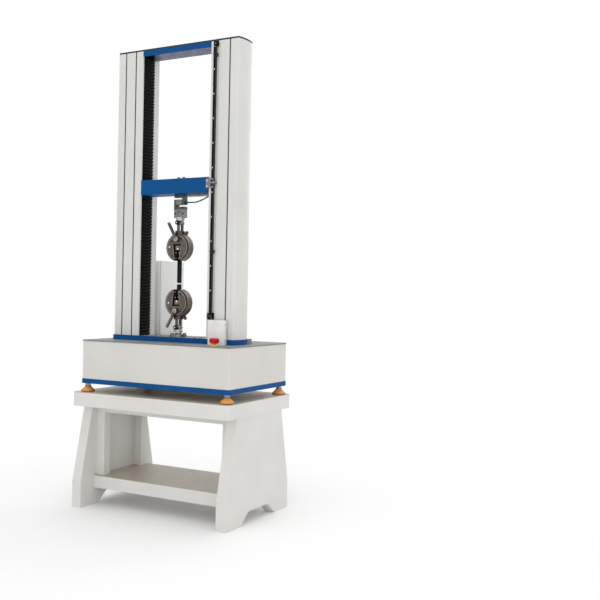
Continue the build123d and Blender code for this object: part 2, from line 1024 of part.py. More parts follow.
def tang(end_z, pin_z):
    # Flat tongue between the grip's ears, with a round end at the pin
    half = core_thickness / 2 - ear_thickness - slide_gap
    low, high = sorted((end_z, pin_z))
    tongue = block(-ear_eye_radius, ear_eye_radius, axis_y - half, axis_y + half, low, high)
    tongue += crosswise(0, pin_z, axis_y - half, axis_y + half, ear_eye_radius)
    return tongue - crosswise(0, pin_z, axis_y - half, axis_y + half, pin_radius)


def cell_coupling():
    half = cage_width / 2
    cage = block(-half, half, axis_y - cell_depth / 2, axis_y + cell_depth / 2, cage_bottom, cell_bottom)
    cage -= block(
        -cage_window / 2, cage_window / 2, axis_y - cell_depth, axis_y + cell_depth,
        cage_bottom + cage_top_bar, cell_bottom - cage_top_bar,
    )
    collar = upright(0, axis_y, collar_bottom, cage_bottom, collar_radius)
    return cage + collar + tang(collar_bottom, upper_pin_z)


def flange_bolt_places():
    reach = flange_bolt_circle / 2
    angles = [radians(45 + 90 * index) for index in range(4)]
    return [(reach * cos(angle), axis_y + reach * sin(angle)) for angle in angles]


def lower_adaptor():
    collar_low = lower_pin_z - ear_eye_radius - collar_gap - collar_height
    collar_high = collar_low + collar_height
    flange = upright(0, axis_y, table_top, table_top + flange_height, flange_radius)
    for x, y in flange_bolt_places():
        flange -= upright(x, y, table_top, table_top + flange_height, flange_bolt_radius)
    stem = upright(0, axis_y, table_top + flange_height, collar_low, stem_radius)
    collar = upright(0, axis_y, collar_low, collar_high, collar_radius)
    return flange + stem + collar + tang(collar_high, lower_pin_z)


def adaptor_bolts():
    bolts = []
    seat = table_top + flange_height
    for x, y in flange_bolt_places():
        shank = upright(x, y, table_top, seat, flange_bolt_radius)
        head = upright(x, y, seat, seat + flange_bolt_head, flange_bolt_head_radius)
        bolts.append(shank + head)
    return group(*bolts)


# Grips, built round the drum's centre with the ears upwards; the lower grip is turned over

def window_half(s):
    return window_mouth + (s + drum_radius) * wedge_slope


def wedge_window(lip, top):
    low = -drum_radius - cut_margin
    return [
        (-window_half(low) + lip, low), (window_half(low) - lip, low),
        (window_half(top) - lip, top), (-window_half(top) + lip, top),
    ]


def grip_core():
    half = core_thickness / 2
    core = crosswise(0, 0, -half, half, drum_radius)
    core -= profile_y(wedge_window(0, window_top), -half, half)
    for near in (-half, half - ear_thickness):
        far = near + ear_thickness
        root = drum_radius - ear_width
        ear = block(-ear_width / 2, ear_width / 2, near, far, root, pin_distance)
        ear += block(
            -ear_root_width / 2, ear_root_width / 2, near, far, root, drum_radius + ear_root_height
        )
        ear += crosswise(0, pin_distance, near, far, ear_eye_radius)
        core += ear
    core -= crosswise(0, pin_distance, -half, half, pin_radius)
    core -= crosswise(0, lever_place, -half, half, lever_shaft_radius + run_fit)
    return core


def grip_cover(near, far):
    cover = crosswise(0, 0, near, far, cover_radius)
    outer = near if near < 0 else far
    rim = cover.edges().filter_by(GeomType.CIRCLE).filter_by(lambda e: abs(e.center().Y - outer) < 0.1)
    cover = chamfer(rim, rim_chamfer)
    return cover - crosswise(0, lever_place, near, far, lever_shaft_radius + run_fit)


def grip_covers():
    # The front cover is open over the jaws; the rear cover is closed
    half = core_thickness / 2
    front = grip_cover(-drum_front, -half)
    front -= profile_y(wedge_window(cover_window_lip, cover_window_top), -drum_front, -half)
    return group(front, grip_cover(half, drum_front))


def grip_jaw():
    # The left jaw: its back follows the wedge wall, its face stands against the specimen
    low = -drum_radius + jaw_inset
    points = [
        (-jaw_face, low), (-jaw_face, jaw_top),
        (-window_half(jaw_top) + slide_gap, jaw_top), (-window_half(low) + slide_gap, low),
    ]
    return profile_y(points, -jaw_thickness / 2, jaw_thickness / 2)


def jaw_carrier():
    # Plate that lifts both jaws; the specimen's end can pass behind it
    return block(
        -carrier_width / 2, carrier_width / 2,
        -core_thickness / 2 + slide_gap, -specimen_width / 2 - soft_gap, carrier_bottom, carrier_top,
    )


def lever_bar(length, angle, y):
    bar = Pos(0, 0, length / 2) * Cylinder(lever_radius, length)
    tip = bar.edges().filter_by(GeomType.CIRCLE).sort_by(Axis.Z)[-1]
    return Pos(0, y, lever_place) * Rot(0, angle, 0) * fillet(tip, lever_tip)


def grip_lever():
    # Handle in front and short stub behind, on one shaft through the grip
    face = drum_front + curve_gap
    middle = face + lever_radius + slide_gap
    lever = crosswise(0, lever_place, -face, face, lever_shaft_radius)
    lever += crosswise(0, lever_place, -face - hub_thickness, -face, hub_radius)
    lever += crosswise(0, lever_place, face, face + hub_thickness, hub_radius)
    lever += lever_bar(lever_length, -lever_angle, -middle)
    return lever + lever_bar(stub_length, stub_angle, middle)


def grip_pin():
    half = core_thickness / 2
    neck = -half - pin_neck
    pin = crosswise(0, pin_distance, neck, half + pin_tail, pin_radius)
    knob = crosswise(0, pin_distance, neck - knob_length, neck, knob_radius)
    knob = fillet(knob.edges().filter_by(GeomType.CIRCLE).sort_by(Axis.Y)[0], knob_round)
    return pin + knob


def at_upper(shape):
    return Pos(0, axis_y, upper_grip_z) * shape


def at_lower(shape):
    return Pos(0, axis_y, lower_grip_z) * mirror(shape, about=Plane.XY)


def specimen():
    low = lower_grip_z + drum_radius - jaw_inset - specimen_grip_length
    high = upper_grip_z - drum_radius + jaw_inset + specimen_grip_length
    return block(
        -specimen_thickness / 2, specimen_thickness / 2,
        axis_y - specimen_width / 2, axis_y + specimen_width / 2, low, high,
    )


# Controls

def control_box():
    back = column_front - plinth_front
    left = column_in + control_box_place
    box = block(
        left, left + control_box_width, back - control_box_depth, back,
        base_top, base_top + control_box_height,
    )
    front = box.edges().filter_by(lambda e: e.center().Y < back - control_box_depth / 4)
    return fillet(front.filter_by(lambda e: e.center().Z > base_top + cut_margin), control_box_corner)


def estop_collar():
    collar = upright(estop_x, estop_y, base_top, base_top + estop_collar_height, estop_collar_radius)
    return collar - upright(
        estop_x, estop_y, base_top, base_top + estop_collar_height, estop_stem_radius + run_fit
    )


def estop_stem():
    low = base_top + estop_travel + soft_gap
    high = base_top + estop_collar_height + estop_travel + soft_gap
    return upright(estop_x, estop_y, low, high, estop_stem_radius)


def estop_head():
    # Mushroom cap: narrow at its foot, wide at the rim, with a domed top
    low = base_top + estop_collar_height + estop_travel + soft_gap
    cap = Pos(estop_x, estop_y, low + estop_head_height / 2) * Cone(
        estop_neck_radius, estop_head_radius, estop_head_height
    )
    rim = cap.edges().filter_by(GeomType.CIRCLE).sort_by(Axis.Z)[-1]
    return fillet(rim, estop_round)


def cabinet_span():
    left = -base_width / 2 + cabinet_side_inset
    back = base_back + cabinet_rear_overhang
    return left, left + cabinet_width, back - cabinet_depth, back


def cabinet_shell():
    left, right, front, back = cabinet_span()
    seam = back - cabinet_cover_depth
    top = base_top + cabinet_height
    shell = rounded_block(left, right, front, back, base_top, top, cabinet_corner)
    shell &= block(left, right, front, seam, base_top, top)
    inside = block(
        left + cabinet_wall, right - cabinet_wall, front + cabinet_wall, seam,
        base_top + cabinet_wall, top - cabinet_wall,
    )
    return shell - inside


def cabinet_rear_cover():
    left, right, front, back = cabinet_span()
    seam = back - cabinet_cover_depth
    top = base_top + cabinet_height
    step = cabinet_cover_step
    cover = rounded_block(
        left + step, right - step, front, back, base_top, top - step, cabinet_corner
    )
    return cover & block(left, right, seam, back, base_top, top)


def nodes():
    jaw = grip_jaw()
    return {
        "stand_top": stand_top(),
        "stand_sheets": stand_sheets(),
        "stand_legs": both_sides(stand_leg()),
        "stand_frame": group(stand_posts(), stand_rails()),
        "stand_shelf": stand_shelf(),
        "stand_bolts": stand_bolts(),
        "foot_pads": foot_pads(),
        "levelling_studs": levelling_studs(),
        "base_pan": base_pan(),
        "base_trim": base_trim(),
        "base_housing": base_housing(),
        "base_top_plate": base_top_plate(),
        "servo_motor": servo_motor(),
        "motor_pulley": group(motor_shaft(), motor_pulley()),
        "drive_belt": drive_belt(),
        "screw_bearings": group(lower_bearings(), upper_blocks()),
        "ball_screw_left": group(ball_screw(-screw_x), screw_pulley(-screw_x)),
        "ball_screw_right": group(ball_screw(screw_x), screw_pulley(screw_x)),
        "table_plate": table_plate(),
        "frame_trims": group(plinth_trim(), top_fascia()),
        "column_left": column_left(),
        "column_right": column_right(),
        "column_seals": column_seals(),
        "guide_rods": guide_rods(),
        "top_beam": top_beam(),
        "top_cap": top_cap(),
        "upper_bellows": both_sides(upper_bellows()),
        "lower_bellows": both_sides(lower_bellows()),
        "crosshead": crosshead(),
        "nuts_and_bushes": group(ball_nuts(), guide_bushes()),
        "crosshead_fittings": group(washer_plate(), load_cell_bolts(), cable_duct(), cable_gland()),
        "trip_bracket": trip_bracket(),
        "load_cell": load_cell(),
        "load_cell_cable": load_cell_cable(),
        "cell_coupling": cell_coupling(),
        "upper_grip_core": at_upper(grip_core()),
        "upper_grip_covers": at_upper(grip_covers()),
        "upper_jaw_left": at_upper(jaw),
        "upper_jaw_right": at_upper(to_left(jaw)),
        "upper_carrier": at_upper(jaw_carrier()),
        "upper_lever": at_upper(grip_lever()),
        "upper_pin": at_upper(grip_pin()),
        "lower_grip_core": at_lower(grip_core()),
        "lower_grip_covers": at_lower(grip_covers()),
        "lower_jaw_left": at_lower(jaw),
        "lower_jaw_right": at_lower(to_left(jaw)),
        "lower_carrier": at_lower(jaw_carrier()),
        "lower_lever": at_lower(grip_lever()),
        "lower_pin": at_lower(grip_pin()),
        "lower_adaptor": group(lower_adaptor(), adaptor_bolts()),
        "specimen": specimen(),
        "limit_rail": group(limit_rail(), limit_rail_screws(), limit_switch(), rod_guide()),
        "limit_rod": limit_rod(),
        "upper_stop": limit_stop(upper_stop_z),
        "lower_stop": limit_stop(lower_stop_z),
        "control_box": control_box(),
        "estop_collar": estop_collar(),
        "estop_button": estop_stem() + estop_head(),
        "cabinet_shell": cabinet_shell(),
        "cabinet_rear_cover": cabinet_rear_cover(),
    }


os.makedirs("parts", exist_ok=True)
for name, shape in nodes().items():
    export_step(shape, "parts/" + name + ".step")
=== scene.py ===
import json
from math import asin, cos, pi, radians, sin

import bmesh
import bpy
from mathutils import Matrix, Vector


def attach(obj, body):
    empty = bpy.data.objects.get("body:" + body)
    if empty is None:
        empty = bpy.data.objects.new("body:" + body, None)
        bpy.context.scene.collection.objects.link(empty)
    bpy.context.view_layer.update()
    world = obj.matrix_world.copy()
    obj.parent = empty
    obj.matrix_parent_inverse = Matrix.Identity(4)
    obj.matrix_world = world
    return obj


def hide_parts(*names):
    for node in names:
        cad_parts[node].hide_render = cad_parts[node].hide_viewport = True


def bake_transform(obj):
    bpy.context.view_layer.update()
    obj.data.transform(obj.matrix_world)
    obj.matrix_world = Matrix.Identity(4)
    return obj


# Sizes below are in millimetres and become metres through MM, unless a comment says otherwise
MM = 0.001

# Camera at the photograph's viewpoint, its place in metres and its angles in radians
LENS = 50.95
SENSOR = 36.0
CAMERA_PLACE = (2.4460, -3.4169, 1.0515)
CAMERA_YAW = 0.4859994
CAMERA_PITCH = 0.0062133
CAMERA_ROLL = 0.0199512

# Load string, the same places as in the part's source
AXIS_Y = -45.0
UPPER_GRIP = 1268.0
LOWER_GRIP = 1001.0
CORE_FACE = 19.0
COVER_FACE = 25.0
LEVER_S = 40.0
LEVER_FACE = 25.3
HUB_DEPTH = 12.0
HUB_RADIUS = 13.0
HANDLE_Y = 33.0
HANDLE_ANGLE = radians(30)
HANDLE_RADIUS = 7.5
PIN_S = 120.0
KNOB_RADIUS = 10.0
KNOB_START = 20.0
KNOB_LENGTH = 13.0

# Levels and faces of the frame
TABLE_TOP = 836.0
BASE_TOP = 812.0
BEAM_BOTTOM = 2203.0
CAP_TOP = 2236.0
CROSSHEAD_BOTTOM = 1524.0
CROSSHEAD_TOP = 1596.0
BRACKET_FRONT = -107.0
BASE_BACK = 275.0
CABINET_BACK = 281.0
CABINET_LEFT = -400.0
CABINET_RIGHT = -200.0
ROD_X = 233.0
ROD_Y = -109.0
STOP_LEVELS = {"upper_stop": 2161.0, "lower_stop": 1244.0}
ESTOP_X = 327.0
ESTOP_Y = -222.0
ESTOP_TOP = 848.5

LEFTWARD = (-1, 0, 0)
RIGHTWARD = (1, 0, 0)
FORWARD = (0, -1, 0)
BACKWARD = (0, 1, 0)
UPWARD = (0, 0, 1)

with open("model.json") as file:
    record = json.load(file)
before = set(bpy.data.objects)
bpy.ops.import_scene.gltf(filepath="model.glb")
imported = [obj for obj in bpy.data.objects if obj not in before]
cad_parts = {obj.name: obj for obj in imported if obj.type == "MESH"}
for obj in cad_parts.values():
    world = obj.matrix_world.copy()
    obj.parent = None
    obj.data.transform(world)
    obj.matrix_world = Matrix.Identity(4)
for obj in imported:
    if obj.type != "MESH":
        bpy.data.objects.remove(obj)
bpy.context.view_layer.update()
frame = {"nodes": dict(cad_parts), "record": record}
scene = bpy.context.scene


# Camera

def make_camera():
    forward = Vector((
        -sin(CAMERA_YAW) * cos(CAMERA_PITCH),
        cos(CAMERA_YAW) * cos(CAMERA_PITCH),
        -sin(CAMERA_PITCH)))
    level_right = forward.cross(Vector((0, 0, 1))).normalized()
    level_up = level_right.cross(forward)
    right = cos(CAMERA_ROLL) * level_right + sin(CAMERA_ROLL) * level_up
    up = cos(CAMERA_ROLL) * level_up - sin(CAMERA_ROLL) * level_right
    data = bpy.data.cameras.new("camera")
    data.lens = LENS
    data.sensor_width = SENSOR
    data.sensor_fit = "HORIZONTAL"
    data.clip_end = 50
    camera = bpy.data.objects.new("camera", data)
    scene.collection.objects.link(camera)
    rows = [(right[i], up[i], -forward[i], CAMERA_PLACE[i]) for i in range(3)]
    camera.matrix_world = Matrix(rows + [(0, 0, 0, 1)])
    scene.camera = camera


make_camera()


# Materials

def tone(red, green, blue):
    """The linear colour of one written as 0 to 255."""
    linear = []
    for value in (red, green, blue):
        value = value / 255
        linear.append(value / 12.92 if value < 0.04 else ((value + 0.055) / 1.055) ** 2.4)
    return (*linear, 1.0)


def shaded(shade, factor):
    """The colour made darker or lighter by a factor."""
    return tuple(min(1.0, channel * factor) for channel in shade[:3]) + (1.0,)


# Nearly all values of a noise lie in the first span, the most frequent ones in the second
NOISE_SPAN = (0.3, 0.7)
NARROW_SPAN = (0.35, 0.65)


class Finish:
    """A material's nodes, built up step by step round its shader."""

    def __init__(self, name, roughness, metallic=0.0, gloss=0.5):
        self.material = bpy.data.materials.new(name)
        self.material.use_nodes = True
        self.tree = self.material.node_tree
        self.shader = self.tree.nodes["Principled BSDF"]
        self.shader.inputs["Metallic"].default_value = metallic
        self.shader.inputs["Roughness"].default_value = roughness
        self.shader.inputs["Specular IOR Level"].default_value = gloss
        self.place = self.node("ShaderNodeTexCoord").outputs["Object"]

    def node(self, kind, **settings):
        made = self.tree.nodes.new(kind)
        for key, value in settings.items():
            setattr(made, key, value)
        return made

    def link(self, output, socket):
        self.tree.links.new(output, socket)

    def mapped(self, stretch=(1, 1, 1), shift=(0, 0, 0)):
        mapping = self.node("ShaderNodeMapping")
        mapping.inputs["Scale"].default_value = stretch
        mapping.inputs["Location"].default_value = shift
        self.link(self.place, mapping.inputs["Vector"])
        return mapping.outputs["Vector"]

    def noise(self, scale, detail=3.0, stretch=(1, 1, 1), roughness=0.5):
        noise = self.node("ShaderNodeTexNoise")
        noise.inputs["Scale"].default_value = scale
        noise.inputs["Detail"].default_value = detail
        noise.inputs["Roughness"].default_value = roughness
        self.link(self.mapped(stretch), noise.inputs["Vector"])
        return noise.outputs["Fac"]

    def ramp(self, factor, stops):
        ramp = self.node("ShaderNodeValToRGB")
        elements = ramp.color_ramp.elements
        while len(elements) < len(stops):
            elements.new(0.5)
        for element, (position, shade) in zip(elements, stops):
            element.position = position
            element.color = shade if len(shade) == 4 else (*shade, 1.0)
        self.link(factor, ramp.inputs["Fac"])
        return ramp.outputs["Color"]

    def varied(self, factor, shade, darker, lighter, span=NOISE_SPAN):
        """A colour that runs from a darker to a lighter shade of itself."""
        return self.ramp(factor, [
            (span[0], shaded(shade, darker)), (span[1], shaded(shade, lighter))])

    def mask(self, factor, start, end, strength):
        """Black up to start, then a ramp to a grey of the given strength."""
        return self.ramp(factor, [(start, (0, 0, 0)), (end, (strength, strength, strength))])

    def blend(self, factor, first, second):
        mix = self.node("ShaderNodeMix", data_type="RGBA")
        self.link(factor, mix.inputs["Factor"])
        for value, socket in ((first, mix.inputs["A"]), (second, mix.inputs["B"])):
            if isinstance(value, tuple):
                socket.default_value = value
            else:
                self.link(value, socket)
        return mix.outputs["Result"]

    def spread(self, factor, low, high):
        span = self.node("ShaderNodeMapRange")
        span.inputs["From Min"].default_value = NOISE_SPAN[0]
        span.inputs["From Max"].default_value = NOISE_SPAN[1]
        span.inputs["To Min"].default_value = low
        span.inputs["To Max"].default_value = high
        self.link(factor, span.inputs["Value"])
        return span.outputs["Result"]

    def bump(self, height, strength, distance):
        bump = self.node("ShaderNodeBump")
        bump.inputs["Strength"].default_value = strength
        bump.inputs["Distance"].default_value = distance
        self.link(height, bump.inputs["Height"])
        self.link(bump.outputs["Normal"], self.shader.inputs["Normal"])

    def paint(self, output):
        self.link(output, self.shader.inputs["Base Color"])

    def uneven(self, factor, less, more):
        roughness = self.shader.inputs["Roughness"]
        level = roughness.default_value
        self.link(self.spread(factor, level - less, level + more), roughness)


def coated(name, shade, roughness=0.42, mottle=0.025, peel=0.22, gloss=0.3):
    """Powder coat or enamel: slight cloudiness, orange peel, handling marks in the gloss."""
    finish = Finish(name, roughness, 0.0, gloss)
    cloud = finish.noise(5.0, 4.0)
    finish.paint(finish.varied(cloud, shade, 1 - mottle, 1 + mottle, NARROW_SPAN))
    finish.uneven(finish.noise(38.0, 6.0, roughness=0.65), 0.07, 0.08)
    finish.bump(finish.noise(620.0, 1.0), peel, 0.0003)
    return finish.material


def brushed(name, shade, roughness=0.34, along="z", contrast=0.10):
    """Ground or brushed steel: fine lines along one axis, cloudy sheen."""
    finish = Finish(name, roughness, 1.0)
    stretch = {"x": (0.03, 1, 1), "y": (1, 0.03, 1), "z": (1, 1, 0.03)}[along]
    lines = finish.noise(900.0, 4.0, stretch)
    finish.paint(finish.varied(lines, shade, 1 - contrast, 1 + contrast))
    finish.uneven(finish.noise(30.0, 4.0), 0.08, 0.10)
    finish.bump(lines, 0.18, 0.0002)
    return finish.material


def turned_steel(name, shade, bare, centre_z, roughness=0.40):
    """Blackened steel of a grip: tool rings round its centre, rim lines, rubbed patches."""
    finish = Finish(name, roughness, 0.9)
    rings = finish.node("ShaderNodeTexWave", wave_type="RINGS", rings_direction="Y")
    rings.inputs["Scale"].default_value = 140.0
    rings.inputs["Distortion"].default_value = 1.2
    rings.inputs["Detail"].default_value = 3.0
    finish.link(finish.mapped(shift=(0, 0, -centre_z * MM)), rings.inputs["Vector"])
    lines = finish.noise(420.0, 3.0, (0.02, 1, 0.02))
    cloud = finish.noise(22.0, 6.0, roughness=0.6)
    ground = finish.varied(cloud, shade, 0.86, 1.18)
    tooled = finish.ramp(rings.outputs["Fac"], [(0.0, (0.82, 0.82, 0.82)), (1.0, (1, 1, 1))])
    dark = finish.blend(tooled, shaded(shade, 0.55), ground)
    patches = finish.noise(85.0, 8.0, roughness=0.7)
    rubbed = finish.mask(patches, 0.56, 0.72, 0.5)
    finish.paint(finish.blend(rubbed, dark, bare))
    finish.uneven(patches, -0.08, -0.12)
    finish.bump(lines, 0.35, 0.0004)
    return finish.material


def worn_steel(name, shade, bare, roughness=0.42, wear=0.6):
    """Blackened steel with rubbed patches where the bare metal shows through."""
    finish = Finish(name, roughness, 0.9)
    cloud = finish.noise(22.0, 6.0, roughness=0.6)
    ground = finish.varied(cloud, shade, 0.82, 1.22)
    patches = finish.noise(85.0, 8.0, roughness=0.7)
    rubbed = finish.mask(patches, wear, wear + 0.12, 0.55)
    finish.paint(finish.blend(rubbed, ground, bare))
    finish.uneven(patches, -0.08, -0.10)
    finish.bump(finish.noise(700.0, 3.0), 0.25, 0.0003)
    return finish.material


def moulded(name, shade, roughness=0.5, grain=800.0, depth=0.22, coat=0.0, gloss=0.3):
    """Moulded plastic or rubber: fine grain, faint flow clouds."""
    finish = Finish(name, roughness, 0.0, gloss)
    finish.shader.inputs["Coat Weight"].default_value = coat
    finish.shader.inputs["Coat Roughness"].default_value = 0.08
    cloud = finish.noise(14.0, 3.0)
    finish.paint(finish.varied(cloud, shade, 0.93, 1.07, NARROW_SPAN))
    finish.uneven(finish.noise(60.0, 5.0), 0.06, 0.08)
    finish.bump(finish.noise(grain, 2.0), depth, 0.0003)
    return finish.material


def speckled(name, shade, fleck, roughness=0.38):
    """Laminate sheet: a fine fleck over a cloudy ground, half gloss over a faint pressed grain."""
    finish = Finish(name, roughness, 0.0, 0.5)
    cloud = finish.noise(9.0, 5.0)
    ground = finish.varied(cloud, shade, 0.975, 1.025, NARROW_SPAN)
    flecks = finish.mask(finish.noise(420.0, 2.0), 0.55, 0.68, 0.8)
    finish.paint(finish.blend(flecks, ground, fleck))
    finish.uneven(finish.noise(26.0, 4.0), 0.06, 0.07)
    finish.bump(finish.noise(240.0, 2.0), 0.05, 0.0002)
    return finish.material


def cast(name, shade, roughness=0.62):
    """Cast iron: coarse grain and dark pits."""
    finish = Finish(name, roughness, 0.6)
    grain = finish.noise(260.0, 6.0, roughness=0.65)
    finish.paint(finish.varied(grain, shade, 0.72, 1.2))
    finish.bump(grain, 0.5, 0.0006)
    return finish.material


GRIP_TONE = tone(97, 90, 85)
BARE_TONE = tone(156, 147, 138)

materials = {
    "stand_white": coated("stand_white", tone(216, 214, 210)),
    "sheet_grey": speckled("sheet_grey", tone(172, 163, 147), tone(184, 176, 162)),
    "fixing_steel": brushed("fixing_steel", tone(146, 147, 150), 0.36, "x"),
    "foot_orange": moulded("foot_orange", tone(222, 150, 78), 0.46),
    "body_white": coated("body_white", tone(210, 208, 203)),
    "trim_blue": coated("trim_blue", tone(14, 77, 135), 0.45, 0.05, 0.22, 0.08),
    "pan_grey": coated("pan_grey", tone(96, 98, 102), 0.5),
    "motor_black": coated("motor_black", tone(30, 30, 32), 0.5),
    "pulley_alloy": brushed("pulley_alloy", tone(132, 132, 136), 0.40, "x"),
    "belt_black": moulded("belt_black", tone(24, 24, 24), 0.7, 500.0, 0.5),
    "housing_iron": cast("housing_iron", tone(92, 92, 94)),
    "ground_steel": brushed("ground_steel", tone(198, 200, 204), 0.24),
    "plate_grey": coated("plate_grey", tone(126, 128, 128), 0.45),
    "column_white": coated("column_white", tone(213, 212, 209), 0.36, 0.02, 0.15, 0.4),
    "seal_dark": moulded("seal_dark", tone(66, 66, 68), 0.75),
    "beam_lilac": brushed("beam_lilac", tone(60, 72, 98), 0.34, "x", 0.16),
    "cap_slate": coated("cap_slate", tone(44, 58, 72), 0.5, gloss=0.15),
    "bellows_black": moulded("bellows_black", tone(19, 19, 20), 0.7, 420.0, 0.45, 0.0, 0.18),
    "nut_bronze": brushed("nut_bronze", tone(172, 150, 96), 0.35),
    "cell_alloy": brushed("cell_alloy", tone(86, 91, 90), 0.44, "x", 0.08),
    "cable_black": moulded("cable_black", tone(58, 60, 62), 0.55),
    "coupling_steel": brushed("coupling_steel", tone(128, 127, 126), 0.38, "x"),
    "grip_steel": turned_steel("grip_steel", GRIP_TONE, BARE_TONE, UPPER_GRIP),
    "jaw_steel": brushed("jaw_steel", tone(38, 35, 34), 0.42, "x", 0.14),
    "lever_steel": worn_steel("lever_steel", tone(104, 100, 96), tone(160, 154, 148), 0.38),
    "knob_black": moulded("knob_black", tone(24, 24, 25), 0.42),
    "specimen_black": moulded("specimen_black", tone(14, 14, 15), 0.6, gloss=0.1),
    "rod_steel": brushed("rod_steel", tone(52, 52, 58), 0.36),
    "stop_steel": brushed("stop_steel", tone(58, 58, 60), 0.42, "z"),
    "control_white": moulded("control_white", tone(232, 230, 228), 0.45),
    "button_red": moulded("button_red", tone(192, 12, 9), 0.3, 500.0, 0.05, 0.2, 0.2),
    "collar_yellow": moulded("collar_yellow", tone(236, 178, 32), 0.34, 500.0, 0.06, 0.3),
    # Painted light: the cabinet is set whiter than the columns, making up for the light that the
    # columns keep off it
    "cabinet_white": coated("cabinet_white", tone(238, 238, 235), 0.34, 0.015, 0.15, 0.45),
}
lower_grip_steel = turned_steel("lower_grip_steel", GRIP_TONE, BARE_TONE, LOWER_GRIP)
rail_black = brushed("rail_black", tone(26, 26, 28), 0.5, "z", 0.2)
# Painted highlight: the jaw carriers in a steel much lighter than the jaws, standing for light that
# catches them
carrier_painted_highlight = brushed("carrier_painted_highlight", tone(126, 115, 109), 0.34, "z", 0.12)
pan_light = coated("pan_light", tone(214, 212, 207), 0.5)
bright_steel = brushed("bright_steel", tone(226, 224, 220), 0.24, "x", 0.10)
nickel = brushed("nickel", tone(250, 249, 246), 0.5, "x", 0.04)
ring_bronze = brushed("ring_bronze", tone(176, 168, 156), 0.34, "x", 0.12)
# Painted light: the handle steel in two copies, darker on the upper handle and lighter on the lower
# one, where it stands for light reflected up from the floor
handle_lit_and_shaded = {
    "upper": brushed("handle_shaded_copy", tone(84, 82, 79), 0.40, "y", 0.2),
    "lower": brushed("handle_lit_copy", tone(128, 125, 120), 0.38, "y", 0.2),
}
dark_steel = brushed("dark_steel", tone(62, 60, 60), 0.42, "x", 0.15)
band_white = moulded("band_white", tone(232, 232, 230), 0.5)
# Dark moulded seams and switch cover; on the grip covers, painted shade for a groove
dark_moulded_and_groove_shade = moulded("dark_moulded_and_groove_shade", tone(52, 52, 54), 0.8)
# Black moulded parts; in the louvres, painted shade for the openings
black_moulded_and_slot_shade = moulded("black_moulded_and_slot_shade", tone(34, 34, 36), 0.6)

# Nodes that look different from the rest of their slot
own_finish = {
    "limit_rail": rail_black,
    # Carriers: painted highlight
    "upper_carrier": carrier_painted_highlight,
    "lower_carrier": carrier_painted_highlight,
    "lower_grip_core": lower_grip_steel,
    "lower_grip_covers": lower_grip_steel,
    "base_top_plate": materials["plate_grey"],
    "base_pan": pan_light,
}

for entry in frame["record"]["subparts"]:
    node = frame["nodes"][entry["node"]]
    node.data.materials.clear()
    node.data.materials.append(own_finish.get(entry["node"], materials[entry["material_slot"]]))

# Edges of folded and machined parts, rounded by the width given where the faces turn by more
# than ROUNDED_ANGLE, after points closer than JOIN_DISTANCE are joined
ROUNDED_ANGLE = radians(50)
JOIN_DISTANCE = 0.02
ROUNDED_EDGES = {
    "stand_top": 2.0, "stand_legs": 1.6, "stand_shelf": 1.2, "table_plate": 0.8,
    "base_trim": 0.8, "base_top_plate": 0.6, "cabinet_shell": 1.2, "crosshead": 0.5,
    "trip_bracket": 0.4, "load_cell": 0.5, "specimen": 0.5,
}

for name, width in ROUNDED_EDGES.items():
    node = frame["nodes"][name]
    weld = node.modifiers.new("joined_corners", "WELD")
    weld.merge_threshold = JOIN_DISTANCE * MM
    bevel = node.modifiers.new("rounded_edges", "BEVEL")
    bevel.width = width * MM
    bevel.segments = 2
    bevel.limit_method = "ANGLE"
    bevel.angle_limit = ROUNDED_ANGLE
    bevel.harden_normals = True


# Mesh tools

# Edges of added pieces that turn by more than this stay sharp in the shading
SHARP_ANGLE = radians(32)


def mesh_object(name, mesh, material):
    """Object in the scene with a mesh that is complete, its faces turned outward."""
    data = bpy.data.meshes.new(name)
    bmesh.ops.recalc_face_normals(mesh, faces=mesh.faces)
    mesh.to_mesh(data)
    mesh.free()
    data.materials.append(material)
    made = bpy.data.objects.new(name, data)
    scene.collection.objects.link(made)
    return made


def finish_piece(name, mesh, material, body):
    """Piece of the part: its object, its slot and, where given, the body that it rides on."""
    piece = mesh_object(name, mesh, material)
    piece.data.set_sharp_from_angle(angle=SHARP_ANGLE)
    if body:
        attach(piece, body)
    return piece


def point(x, y, z):
    return Vector((x * MM, y * MM, z * MM))


def turned(mesh, rings, place, axis, segments=32):
    """Closed solid of revolution from rings of a radius and a distance along the axis.

    A third number in a ring gives it that many flat sides.
    """
    axis = Vector(axis).normalized()
    side = axis.orthogonal().normalized()
    other = axis.cross(side)
    loops = []
    for radius, along, *sides in rings:
        centre = place + axis * (along * MM)
        if radius == 0:
            loops.append([mesh.verts.new(centre)])
            continue
        loop = []
        for index in range(segments):
            angle = 2 * pi * index / segments
            reach = radius * MM
            if sides:
                part = 2 * pi / sides[0]
                reach *= cos(part / 2) / cos(angle % part - part / 2)
            loop.append(mesh.verts.new(centre + reach * (side * cos(angle) + other * sin(angle))))
        loops.append(loop)
    for first, second in zip(loops, loops[1:]):
        for index in range(segments):
            after = (index + 1) % segments
            corners = [first[index % len(first)], first[after % len(first)],
                       second[after % len(second)], second[index % len(second)]]
            mesh.faces.new(list(dict.fromkeys(corners)))
    for loop in (loops[0], loops[-1]):
        if len(loop) > 1:
            mesh.faces.new(loop)


def cap_screw(mesh, place, axis, radius, height, segments=24):
    """Socket screw head with a chamfered rim and a six-sided socket."""
    turned(mesh, [
        (radius, 0), (radius, height * 0.82), (radius * 0.90, height), (radius * 0.56, height),
        (radius * 0.54, height, 6), (radius * 0.52, height * 0.40, 6), (0, height * 0.34),
    ], place, axis, segments)


def button_screw(mesh, place, axis, radius):
    """Low domed screw with a small socket."""
    turned(mesh, [
        (radius, 0), (radius, radius * 0.12), (radius * 0.76, radius * 0.26),
        (radius * 0.45, radius * 0.30), (radius * 0.42, radius * 0.30, 6),
        (radius * 0.40, radius * 0.10, 6), (0, radius * 0.08),
    ], place, axis, 18)


